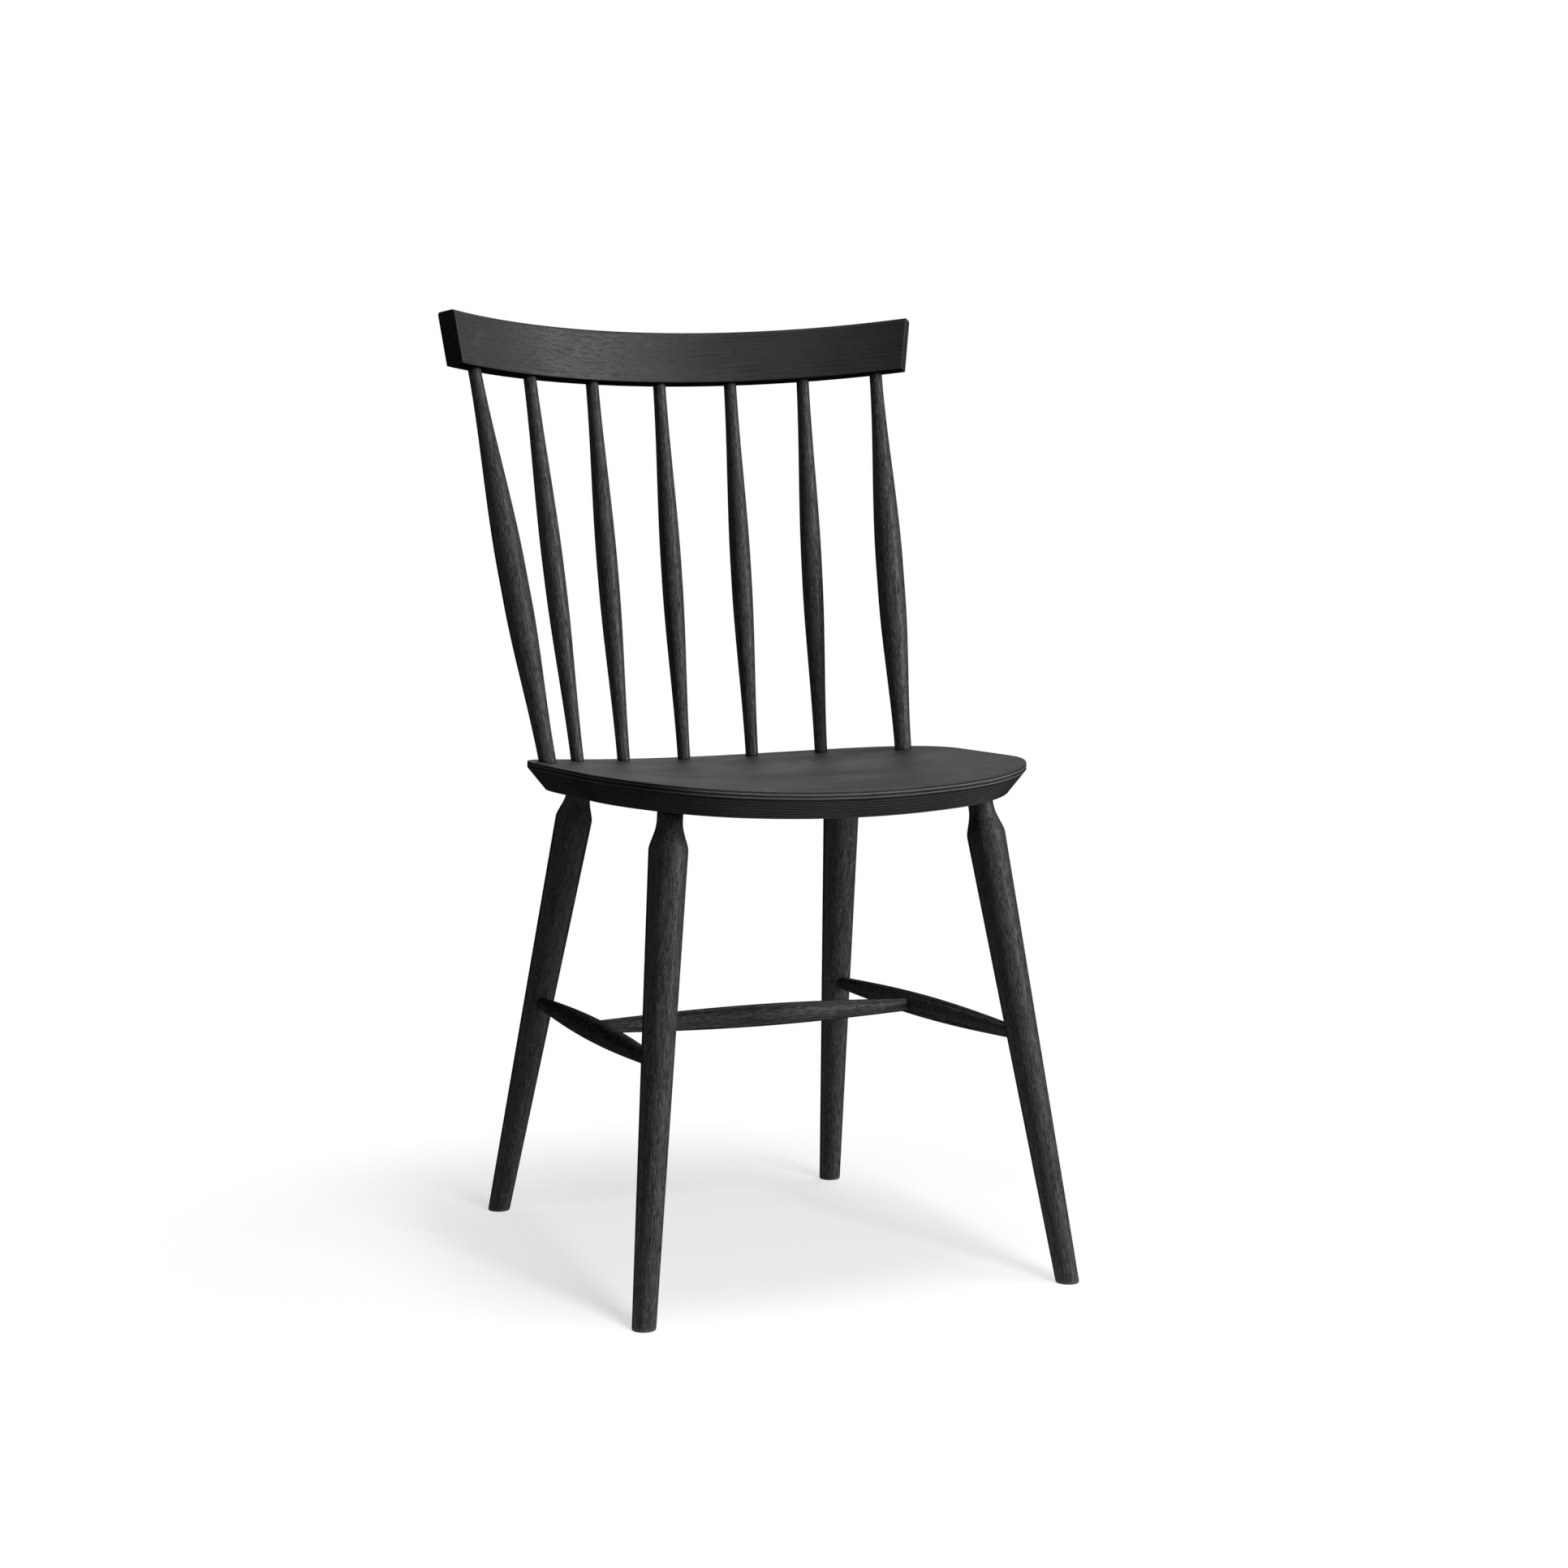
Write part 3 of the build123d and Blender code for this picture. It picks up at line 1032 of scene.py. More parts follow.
@dataclass
class Seat:
    """Pressed plywood board, hollow from side to side, with an upright band over a bevel.

    Attributes:
        height: Height of its lowest line over the floor.
        width: Its width.
        depth: Its depth from front to back.
        back_y: Its back edge, from the line where its height is measured.
        thickness: Thickness of the board.
        rake: How far it leans back, in radians.
        dish_radius: Radius of its hollow.
        bow_radius: Radius of its front edge.
        corner_radius: Radius of its front corners.
        band: Height of the upright band.
        bevel: How far the bevel runs in under the band.
        rim_round: Radius of the arris around the top.
        ridge_round: Radius of the ridge between band and bevel.
        foot_round: Radius of the arris around the underside.
        ridge_light: Half the width of the light line along the foot of the band.
        bevel_painted_shade: Lightness kept by the light plies on the bevel, beside those on the band;
            painted shade, as the bevel faces down, away from the lamps.
        side_painted_shade: Lightness kept by the plies at the sides, beside the front's, on the band and the
            bevel; painted shade, as the sides face away from the lamps.
        side_turn: Sideways parts of the outward direction where that painted shade at the sides begins and
            is full.
        ply: Thickness of one ply.
        first_light: Depth of the middle of the first light ply under the face.
        ply_blur: Depth over which a light ply turns into a dark one.
        ply_recess: How far the dark plies lie back.
        ply_sample: Distance between the rings down the cut edge.
        ply_waver: How far each wave moves the glue lines.
        ply_waves: How often each wave goes up and down around the rim.
        point_step: Distance between points around the rim.
        face_rings: Rings between the middle of a face and its rim.
        face_shares: Shares of the way to the rim where the first and the last of them lie.
        rim_share: Share of the way where one more ring lies, close to the rim.
        seed: Number that its wood is drawn from.
    """

    height: float = 0.450
    width: float = 0.427
    depth: float = 0.4485
    back_y: float = 0.2155
    thickness: float = 0.0245
    rake: float = math.radians(1.0)
    dish_radius: float = 1.5
    bow_radius: float = 0.740
    corner_radius: float = 0.125
    band: float = 0.006
    bevel: float = 0.0165
    rim_round: float = 0.0011
    ridge_round: float = 0.0008
    foot_round: float = 0.0009
    ridge_light: float = 0.0005
    bevel_painted_shade: float = 0.34
    side_painted_shade: tuple[float, float] = (0.60, 0.25)
    side_turn: tuple[float, float] = (0.3, 0.9)
    ply: float = 0.001167
    first_light: float = 0.0024
    ply_blur: float = 0.0005
    ply_recess: float = 0.00012
    ply_sample: float = 0.00026
    ply_waver: float = 0.000035
    ply_waves: tuple[int, ...] = (7, 16, 31, 53, 90)
    point_step: float = 0.0034
    face_rings: int = 24
    face_shares: tuple[float, float] = (0.06, 0.96)
    rim_share: float = 0.985
    seed: int = 40

    def __post_init__(self) -> None:
        """Plane of the seat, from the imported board's back edge, and its outline."""
        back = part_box("seat")[1].y
        self.shift_y = self.back_y * math.cos(self.rake) - back
        self.plane = Plane((0.0, -self.shift_y, self.height), -self.rake)
        self.half = self.width / 2
        self.front_y = self.back_y - self.depth
        self.rim, self.outward = self.outline()
        self.middle = np.array((0.0, (self.back_y + self.front_y) / 2))

    def outline(self) -> tuple[Array, Array]:
        """Plan of the rim, against the clock seen from above.

        Returns:
            Points of the rim in the seat's plane, and the directions out of it.
        """
        round_y = self.back_y - self.half
        bow_y = self.front_y + self.bow_radius
        corner_x = self.half - self.corner_radius
        reach = self.bow_radius - self.corner_radius
        corner_y = bow_y - math.sqrt(reach**2 - corner_x**2)
        bow_turn = math.asin(corner_x / reach)
        quarter = math.pi / 2
        arcs = (
            ((0.0, round_y), self.half, 0.0, math.pi),
            ((-corner_x, corner_y), self.corner_radius, math.pi, 3 * quarter - bow_turn),
            ((0.0, bow_y), self.bow_radius, 3 * quarter - bow_turn, 3 * quarter + bow_turn),
            ((corner_x, corner_y), self.corner_radius, 3 * quarter + bow_turn, 4 * quarter),
        )
        points, ways = [], []
        for centre, radius, start, end in arcs:
            steps = round(radius * (end - start) / self.point_step)
            turn = np.linspace(start, end, steps + 1)
            way = np.column_stack((np.cos(turn), np.sin(turn)))
            points.append(np.asarray(centre) + radius * way)
            ways.append(way)
            if end in (math.pi, 4 * quarter):
                sides = round(abs(round_y - corner_y) / self.point_step)
                run = np.linspace(round_y, corner_y, sides + 1)[1:-1]
                run = run if end == math.pi else run[::-1]
                across = math.copysign(1.0, way[-1, 0])
                points.append(np.column_stack((np.full(len(run), across * self.half), run)))
                ways.append(np.tile((across, 0.0), (len(run), 1)))
            else:
                points[-1], ways[-1] = points[-1][:-1], ways[-1][:-1]
        return np.concatenate(points), np.concatenate(ways)

    def dish(self, x: Array, depth: Array | float) -> Array:
        """Height over the seat's plane of the layer at a depth, x from the middle."""
        radius = self.dish_radius + depth
        return radius - depth - np.sqrt(radius**2 - np.asarray(x) ** 2)

    def place(self, plan: Array, depth: float) -> Array:
        """Points over a plan, at a depth below the top."""
        return self.plane.outward(np.column_stack((plan, self.dish(plan[:, 0], depth))))

    def gap_above(self, points: Array) -> Array:
        """Height of points over the top."""
        local = self.plane.inward(points)
        return local[:, 2] - self.dish(local[:, 0], 0.0)

    def gap_below(self, points: Array) -> Array:
        """Distance of points under the underside."""
        local = self.plane.inward(points)
        return self.dish(local[:, 0], self.thickness) - local[:, 2]

    def on_top(self, x: float, y: float) -> Array:
        """Point on the top, over x and y of the seat's plane."""
        return self.place(np.array(((x, y),)), 0.0)[0]

    def underneath(self, x: float, y: float) -> Array:
        """Point on the underside, under x and y of the seat's plane."""
        return self.place(np.array(((x, y),)), self.thickness)[0]

    def ply_tone(self, depth: Array) -> Array:
        """Lightness of the cut edge around the rim, with painted shade on the bevel and at the sides.

        Args:
            depth: Depth under the top for each point of the rim, among the plies.

        Returns:
            Values from 0 for a dark ply to 1 for a light one.
        """
        pair = 2 * self.ply
        turn = (depth - self.first_light) / pair
        away = np.abs(turn - np.round(turn)) * pair
        light = np.clip((self.ply / 2 - away) / self.ply_blur + 0.5, 0.0, 1.0)
        light = np.where(depth < self.first_light - self.ply, 0.0, light)
        below = depth - self.band
        # Painted shade: the plies dim towards the sides and on the bevel, where less light falls.
        start, end = self.side_turn
        side = smooth((np.abs(self.outward[:, 0]) - start) / (end - start))
        band_side_shade, bevel_side_shade = (1.0 - (1.0 - least) * side for least in self.side_painted_shade)
        light = np.where(below > 0.0, light * self.bevel_painted_shade * bevel_side_shade, light * band_side_shade)
        # Plies next to the band's foot stay dark, and a light line runs along it.
        light = np.where(np.abs(below) < pair, 0.0, light)
        ridge = np.clip(1.5 - np.abs(below + self.ridge_light / 2) / self.ridge_light, 0.0, 1.0)
        return np.maximum(light, ridge * band_side_shade)

    def waver(self) -> Array:
        """How far the glue lines stand from their place.

        Returns:
            A depth for each point of the rim.
        """
        draw = np.random.default_rng(self.seed)
        turn = np.linspace(0.0, math.tau, len(self.rim), endpoint=False)
        waves = [np.sin(count * turn + draw.uniform(0.0, math.tau)) for count in self.ply_waves]
        return self.ply_waver * sum(waves)

    def grain(self, plan: Array, depth: float) -> Array:
        """Wood coordinates of points, the fibre running from side to side."""
        offset = wood_place(self.seed)
        return np.column_stack((np.full(len(plan), depth), plan[:, 1], plan[:, 0])) + offset

    def build(self, materials: Sequence[bpy.types.Material]) -> bpy.types.Object:
        """The dressed board.

        Args:
            materials: Finish of its faces, then of its cut edge.

        Returns:
            The new object.
        """
        shell = Shell("seat", len(self.rim))
        edge = Section.through(
            (Corner(2 * self.rim_round, 0.0, 0.0), Corner(0.0, 0.0, self.rim_round),
             Corner(0.0, self.band, self.ridge_round),
             Corner(self.bevel, self.thickness, self.foot_round),
             Corner(self.bevel + 2 * self.foot_round, self.thickness, 0.0)),
            closed=False, step=self.ply_sample)
        shares = [*np.linspace(*self.face_shares, self.face_rings), self.rim_share]
        rings = []
        for share in shares:
            plan = self.middle + share * (self.rim - self.outward * edge.points[0, 0] - self.middle)
            rings.append((plan, 0.0, 0.0, 0.0, 0))
        waver = self.waver()
        for (inset, depth), arris in zip(edge.points, edge.arris):
            tone = self.ply_tone(depth + waver)
            cut = self.rim_round / 3 < depth < self.thickness - self.foot_round / 2
            sunk = inset + self.ply_recess * (1.0 - tone) * cut
            rings.append((self.rim - sunk[:, None] * self.outward, depth, arris, tone, int(cut)))
        for share in shares[::-1]:
            plan = self.middle + share * (self.rim - self.outward * edge.points[-1, 0] - self.middle)
            rings.append((plan, self.thickness, 0.0, 0.0, 0))
        starts = [shell.add(self.place(plan, depth), self.grain(plan, depth), arris, 0.0, tone)
                  for plan, depth, arris, tone, _ in rings]
        for low, high, row in zip(starts, starts[1:], rings[1:]):
            shell.bridge(high, low, row[4])
        for start, depth, upward in ((starts[0], 0.0, True), (starts[-1], self.thickness, False)):
            plan = self.middle[None, :]
            centre = shell.add(self.place(plan, depth), self.grain(plan, depth))
            shell.fan(start, centre, upward)
        return shell.finish_piece(Slot.SEAT, materials)


@dataclass
class CrestRail:
    """Bent board that leans back, its ends flared outwards towards the top.

    Attributes:
        seat: The seat that it stands over.
        above_seat: Height of its underside over the seat's lowest line.
        behind_seat: How far its middle stands behind the seat.
        height: Height of the board.
        thickness: Thickness of the board.
        radius: Radius of its front face.
        lean: How far it leans back, in radians.
        end_angle: Angle along the arc where its underside ends.
        flare: Slant of its ends, in radians.
        top_round: Radius of its long top edges.
        foot_round: Radius of its long bottom edges.
        end_round: Radius of the edges around its ends.
        end_bends: Rings around each of those edges.
        underside_shade: How much darker its underside is painted, a painted shade under the rail.
        pith: Where the wood coordinates of its middle lie from the pith.
        fibre_slope: How far the rings run out along its length.
        section_step: Greatest distance between points around its section.
        arc_step: Distance between its rings.
    """

    seat: Seat
    above_seat: float = 0.365
    behind_seat: float = 0.037
    height: float = 0.0507
    thickness: float = 0.020
    radius: float = 0.397
    lean: float = math.radians(11.6)
    end_angle: float = math.radians(35.11)
    flare: float = math.radians(9.8)
    top_round: float = 0.003
    foot_round: float = 0.0008
    end_round: float = 0.0009
    end_bends: int = 5
    underside_shade: float = 0.6
    pith: tuple[float, float, float] = (0.036, 0.052, 0.3)
    fibre_slope: float = 0.015
    section_step: float = 0.0018
    arc_step: float = 0.0026

    def __post_init__(self) -> None:
        """Plane of its underside."""
        back = self.seat.back_y + self.behind_seat - self.seat.shift_y
        self.plane = Plane((0.0, back, self.seat.height + self.above_seat), -self.lean)
        self.middle_radius = self.radius + self.thickness / 2

    def under(self, angle: float) -> Array:
        """Point in the middle of its underside.

        Args:
            angle: Angle along its arc, in radians.

        Returns:
            The point.
        """
        across = self.middle_radius * math.sin(angle)
        back = self.middle_radius * (math.cos(angle) - 1.0)
        return self.plane.outward(np.array(((across, back, 0.0),)))[0]

    def gap_below(self, points: Array) -> Array:
        """Distance of points under its underside."""
        return -self.plane.inward(points)[:, 2]

    def at(self, radius: Array, angle: Array, up: Array) -> Array:
        """Points at a radius and angle of its arc, and a height over its underside."""
        back = radius * np.cos(angle) - self.middle_radius
        return self.plane.outward(np.column_stack((radius * np.sin(angle), back, up)))

    def reach(self, radius: Array, up: Array) -> Array:
        """Angle along the arc where the flared end cuts a fibre."""
        return self.end_angle + np.arcsin(up * math.tan(self.flare) / radius)

    def build(self, materials: Sequence[bpy.types.Material]) -> bpy.types.Object:
        """The dressed rail.

        Args:
            materials: Finish of its faces, then of its underside and ends.

        Returns:
            The new object.
        """
        front, back = self.radius, self.radius + self.thickness
        loop = Section.through(
            (Corner(front, 0.0, self.foot_round), Corner(back, 0.0, self.foot_round),
             Corner(back, self.height, self.top_round), Corner(front, self.height, self.top_round)),
            closed=True, step=self.section_step)
        ahead = np.roll(loop.points, -1, axis=0) - np.roll(loop.points, 1, axis=0)
        ahead /= np.linalg.norm(ahead, axis=1, keepdims=True)
        out = np.column_stack((ahead[:, 1], -ahead[:, 0]))
        shell = Shell("crest_rail", len(loop.points))
        offset = np.array(self.pith)
        bends = np.linspace(0.0, math.pi / 2, self.end_bends)
        ends = [(1.0, self.end_round * (1.0 - math.sin(b)), self.end_round * (1.0 - math.cos(b)),
                 math.sin(2 * b)) for b in bends]
        count = round(2 * self.end_angle * self.middle_radius / self.arc_step)
        rings = [(-share, *row) for share, *row in ends[::-1]]
        rings += [(share, self.end_round, 0.0, 0.0) for share in np.linspace(-1.0, 1.0, count + 1)[1:-1]]
        rings += ends
        starts = []
        for share, setback, shrink, sharp in rings:
            radius, up = (loop.points - shrink * out).T
            angle = share * (self.reach(radius, up) - setback / radius)
            along = angle * self.middle_radius
            across = radius - self.middle_radius + self.fibre_slope * along
            grain = np.column_stack((across, up, along)) + offset
            arris = np.maximum(loop.arris, sharp)
            # Painted shade: the underside is darkened through the seam mark, standing for the shade that
            # falls under the rail.
            under = self.underside_shade * smooth(1.0 - up / self.foot_round)
            starts.append(shell.add(self.at(radius, angle, up), grain, arris, under))
        matt = [int(max(here, after) < self.foot_round / 2)
                for here, after in zip(loop.points[:, 1], np.roll(loop.points[:, 1], -1))]
        for low, high in zip(starts, starts[1:]):
            shell.bridge(high, low, matt)
        middle = np.array((self.middle_radius,)), np.array((self.height / 2,))
        for start, side in ((starts[0], Side.LEFT), (starts[-1], Side.RIGHT)):
            angle = side.value * self.reach(*middle)
            along = self.middle_radius * angle
            grain = np.column_stack((self.fibre_slope * along, middle[1], along)) + offset
            centre = shell.add(self.at(middle[0], angle, middle[1]), grain)
            shell.fan(start, centre, side is Side.LEFT, 1)
        return shell.finish_piece(Slot.CREST, materials)


@dataclass
class Spindles:
    """Row of turned spindles from the seat to the crest rail, the outer two thicker.

    Attributes:
        seat: The seat that they stand on.
        crest: The rail that they hold.
        from_back: How far in from the back of the seat the row stands.
        from_side: How far in from its sides the arc of the row reaches.
        inner_per_side: Inner spindles on each side of the middle one.
        inner_angle: Angle on the seat from one inner spindle to the next.
        outer_gap: Angle on the seat from the last inner spindle to the outer one.
        crest_step: Angle on the rail from one spindle to the next.
        inner_end: Diameter of an inner spindle at both ends.
        inner_belly: Its greatest diameter.
        inner_span: Shares of its length where it is fullest.
        outer_foot: Diameter of an outer spindle at the seat.
        outer_top: Its diameter at the rail.
        outer_belly: Its greatest diameter.
        outer_span: Shares of its length where it is fullest.
        seat_tenon: Length of a tenon in the seat.
        crest_tenon: Length of a tenon in the rail.
        seam_ease: How far the arris at a seam is eased.
        inner_seed: Number that the wood of the inner spindles counts up from.
        outer_seed: Number that the wood of the outer spindles counts from, down and up.
    """

    seat: Seat
    crest: CrestRail
    from_back: float = 0.0277
    from_side: float = 0.014
    inner_per_side: int = 2
    inner_angle: float = math.radians(19.85)
    outer_gap: float = math.radians(26.6)
    crest_step: float = math.radians(10.37)
    inner_end: float = 0.0125
    inner_belly: float = 0.0205
    inner_span: tuple[float, float] = (0.46, 0.51)
    outer_foot: float = 0.0163
    outer_top: float = 0.0125
    outer_belly: float = 0.0268
    outer_span: tuple[float, float] = (0.40, 0.49)
    seat_tenon: float = 0.015
    crest_tenon: float = 0.014
    seam_ease: float = 0.0004
    inner_seed: int = 100
    outer_seed: int = 110

    def spindle(self, name: str, seat_angle: float, crest_angle: float, diameters: Sequence[float],
                span: Sequence[float], seed: int) -> Turning:
        """One spindle.

        Args:
            name: Name of its node.
            seat_angle: Where it stands on the seat's arc.
            crest_angle: Where it meets the rail's arc.
            diameters: At its foot, its belly and its top.
            span: Shares of its length where it is fullest.
            seed: Number that its wood is drawn from.

        Returns:
            The spindle.
        """
        radius = self.seat.half - self.from_side
        arc_y = self.seat.back_y - self.from_back - radius
        foot = self.seat.on_top(radius * math.sin(seat_angle), arc_y + radius * math.cos(seat_angle))
        head = self.crest.under(crest_angle)
        length = float(np.linalg.norm(head - foot))
        start, belly, top = (diameter / 2 for diameter in diameters)
        low, high = (share * length for share in span)
        profile = Profile.of(
            ((-self.seat_tenon, start),), swell(0.0, low, start, belly),
            swell(high, length, belly, top), ((length + self.crest_tenon, top),))
        return Turning(
            name, foot, head, profile,
            Ending(0.0, self.seat.gap_above, self.seam_ease, -self.seat_tenon),
            Ending(length, self.crest.gap_below, self.seam_ease, length + self.crest_tenon), seed)

    def pieces(self) -> list[Turning]:
        """All spindles.

        Returns:
            The inner ones from left to right, then the outer ones.
        """
        row = []
        sizes = (self.inner_end, self.inner_belly, self.inner_end)
        for step in range(-self.inner_per_side, self.inner_per_side + 1):
            number = step + self.inner_per_side + 1
            name = f"inner_spindle_{number}"
            row.append(self.spindle(name, step * self.inner_angle, step * self.crest_step, sizes,
                                    self.inner_span, self.inner_seed + number))
        sizes = (self.outer_foot, self.outer_belly, self.outer_top)
        seat_angle = self.inner_per_side * self.inner_angle + self.outer_gap
        crest_angle = (self.inner_per_side + 1) * self.crest_step
        for side in Side:
            name = f"outer_spindle_{side.word}"
            row.append(self.spindle(name, side.value * seat_angle, side.value * crest_angle, sizes,
                                    self.outer_span, self.outer_seed + side.value))
        return row


@dataclass(frozen=True)
class LegPlace:
    """Where a pair of legs stands.

    Attributes:
        word: Start of the names of the pair.
        head: Where the right one meets the underside, in the seat's plane.
        splay: How far its foot stands out sideways.
        rake: How far its foot stands out fore or aft.
        neck: Length of its neck.
    """

    word: str
    head: tuple[float, float]
    splay: float
    rake: float
    neck: float


@dataclass
class Understructure:
    """Four raked legs, braced by two side stretchers and one across.

    Attributes:
        seat: The seat that the legs carry.
        front: Where the front legs stand.
        rear: Where the rear legs stand.
        neck_diameter: Thickness of a leg under the seat.
        flare: Length of the curve from the neck to the shoulder.
        shoulder_diameter: Greatest thickness of a leg.
        foot_diameter: Thickness of a leg at the floor.
        up_leg: How far up the legs the side stretchers meet them.
        cross_from_front: Where along the side stretchers the cross stretcher meets them.
        stretcher_end: Diameter of a stretcher at its ends.
        side_belly: Greatest diameter of a side stretcher.
        cross_belly: Greatest diameter of the cross stretcher.
        seat_tenon: Length of a leg's tenon in the seat.
        past_axis: How far a stretcher's tenon passes the axis of the piece that holds it.
        flare_shoulder_run: Share of the flare over which the curve leaves the shoulder.
        flare_shoulder_drop: Share of the step from shoulder to neck that it loses over it.
        flare_neck_run: Share of the flare over which the curve meets the neck.
        arch_run: Share of a stretcher's half over which its curve leaves an end and meets the belly.
        arch_rise: Share of the swelling that it gains as it leaves an end.
        seam_ease: How far the arris at a seam is eased.
        foot_ease: How far the arris of a foot is eased.
        leg_around: Points around a leg.
        leg_seeds: Numbers that the wood of the front and the rear legs counts from, down and up.
        side_seed: Number that the wood of the side stretchers counts from, down and up.
        cross_seed: Number that the wood of the cross stretcher is drawn from.
    """

    seat: Seat
    front: LegPlace = LegPlace("front_leg", head=(0.150, -0.162), splay=0.0546, rake=-0.0747, neck=0.0080)
    rear: LegPlace = LegPlace("rear_leg", head=(0.1366, 0.1114), splay=0.0431, rake=0.1253, neck=0.0052)
    neck_diameter: float = 0.023
    flare: float = 0.025
    shoulder_diameter: float = 0.035
    foot_diameter: float = 0.021
    up_leg: float = 0.2275
    cross_from_front: float = 0.2035
    stretcher_end: float = 0.012
    side_belly: float = 0.0215
    cross_belly: float = 0.021
    seat_tenon: float = 0.017
    past_axis: float = 0.004
    flare_shoulder_run: float = 0.3
    flare_shoulder_drop: float = 0.2
    flare_neck_run: float = 0.4
    arch_run: float = 0.36
    arch_rise: float = 0.57
    seam_ease: float = 0.0004
    foot_ease: float = 0.0012
    leg_around: int = 72
    leg_seeds: tuple[int, int] = (200, 210)
    side_seed: int = 230
    cross_seed: int = 240

    @staticmethod
    def floor_gap(points: Array) -> Array:
        """Height of points over the floor."""
        return points[:, 2]

    def leg(self, place: LegPlace, side: Side, seed: int) -> Turning:
        """One leg.

        Args:
            place: Where its pair stands.
            side: Which of the pair.
            seed: Number that its wood is drawn from.

        Returns:
            The leg.
        """
        x, y = place.head
        head = self.seat.underneath(side.value * x, y)
        foot = np.array((side.value * (x + place.splay), y + place.rake - self.seat.shift_y, 0.0))
        length = float(np.linalg.norm(head - foot))
        neck = length - place.neck
        shoulder = neck - self.flare
        neck_radius, shoulder_radius = self.neck_diameter / 2, self.shoulder_diameter / 2
        foot_radius = self.foot_diameter / 2
        taper = (shoulder_radius - foot_radius) / shoulder
        drop = self.flare_shoulder_drop * (shoulder_radius - neck_radius)
        stub = self.foot_diameter
        curve = bezier((shoulder, shoulder_radius),
                       (shoulder + self.flare_shoulder_run * self.flare, shoulder_radius - drop),
                       (neck - self.flare_neck_run * self.flare, neck_radius), (neck, neck_radius))
        tip = length + self.seat_tenon
        profile = Profile.of(((-stub, foot_radius - taper * stub),), curve, ((tip, neck_radius),))
        return Turning(
            f"{place.word}_{side.word}", foot, head, profile,
            Ending(0.0, self.floor_gap, self.foot_ease),
            Ending(length, self.seat.gap_below, self.seam_ease, tip), seed, self.leg_around)

    def arch(self, start: float, end: float, belly: float) -> list[Array]:
        """Profile curves of a stretcher, from its thin ends to its belly.

        Args:
            start: Height where it begins to swell.
            end: Height where it is thin again.
            belly: Greatest radius.

        Returns:
            The two curves.
        """
        thin = self.stretcher_end / 2
        middle = (start + end) / 2
        run = (middle - start) * self.arch_run
        rise = thin + (belly - thin) * self.arch_rise
        up = bezier((start, thin), (start + run, rise), (middle - run, belly), (middle, belly))
        down = bezier((middle, belly), (middle + run, belly), (end - run, rise), (end, thin))
        return [up, down]

    def stretcher(self, name: str, start: Turning, start_at: Array, end: Turning, end_at: Array,
                  belly: float, seed: int) -> Turning:
        """Stretcher between the axes of two pieces.

        Args:
            name: Name of its node.
            start: Piece that holds its first end.
            start_at: Point on that piece's axis.
            end: Piece that holds its other end.
            end_at: Point on that piece's axis.
            belly: Greatest diameter.
            seed: Number that its wood is drawn from.

        Returns:
            The stretcher.
        """
        length = float(np.linalg.norm(end_at - start_at))
        clear = [float(piece.profile.radius((at - piece.foot) @ piece.axis))
                 for piece, at in ((start, start_at), (end, end_at))]
        thin = self.stretcher_end / 2
        tip = length + self.past_axis
        curves = self.arch(clear[0], length - clear[1], belly / 2)
        profile = Profile.of(((-self.past_axis, thin),), *curves, ((tip, thin),))
        return Turning(
            name, start_at, end_at, profile,
            Ending(clear[0], start.gap, self.seam_ease, -self.past_axis),
            Ending(length - clear[1], end.gap, self.seam_ease, tip), seed)

    def pieces(self) -> list[Turning]:
        """All turned pieces under the seat.

        Returns:
            Legs, side stretchers and the cross stretcher.
        """
        legs, sides, crossings = [], [], []
        for side in Side:
            pair = [self.leg(place, side, seed + side.value)
                    for place, seed in zip((self.front, self.rear), self.leg_seeds)]
            joints = [leg.foot + self.up_leg * leg.axis for leg in pair]
            name = f"side_stretcher_{side.word}"
            brace = self.stretcher(name, pair[0], joints[0], pair[1], joints[1], self.side_belly,
                                   self.side_seed + side.value)
            legs += pair
            sides.append(brace)
            crossings.append(joints[0] + self.cross_from_front * brace.axis)
        cross = self.stretcher("cross_stretcher", sides[0], crossings[0], sides[1], crossings[1],
                               self.cross_belly, self.cross_seed)
        return [*legs, *sides, cross]


@dataclass(frozen=True)
class Lamp:
    """Soft lamp aimed at the chair.

    Attributes:
        name: Its name.
        lit: What it is shaded to.
        azimuth: Where it stands, in degrees right of the front.
        elevation: How high it stands, in degrees.
        distance: How far it stands from the point that it is aimed at.
        sides: Its width and height.
        level: Brightness of a white surface that faces it.
    """

    name: str
    lit: Lit
    azimuth: float
    elevation: float
    distance: float
    sides: tuple[float, float]
    level: float

    @property
    def turn(self) -> float:
        """Its azimuth in radians."""
        return math.radians(self.azimuth)

    @property
    def rise(self) -> float:
        """Its elevation in radians."""
        return math.radians(self.elevation)

    @property
    def way(self) -> Array:
        """Direction of the lamp from the point that it is aimed at."""
        flat = math.cos(self.rise)
        return np.array((math.sin(self.turn) * flat, -math.cos(self.turn) * flat, math.sin(self.rise)))

    def on_floor(self, target: Array) -> float:
        """Light that it throws on the floor.

        Args:
            target: The point that it is aimed at.

        Returns:
            Brightness of a white floor under that point.
        """
        drop = self.distance * self.way + (0.0, 0.0, target[2])
        reach = float(np.linalg.norm(drop))
        return self.level * (self.distance / reach) ** 2 * float(self.way @ drop) * drop[2] / reach**2

    def place(self, target: Array, shade: bpy.types.Collection) -> None:
        """Hangs the lamp and aims it at a point.

        Args:
            target: The point.
            shade: Objects that it is shaded to.
        """
        light = bpy.data.lights.new(self.name, "AREA")
        light.shape = "RECTANGLE"
        light.size, light.size_y = self.sides
        light.energy = self.level * (math.pi * self.distance) ** 2
        lamp = bpy.data.objects.new(self.name, light)
        lamp.location = target + self.distance * self.way
        lamp.rotation_euler = (math.pi / 2 - self.rise, 0.0, self.turn)
        lamp.visible_camera = False
        lamp.light_linking.receiver_collection = shade
        bpy.context.scene.collection.objects.link(lamp)


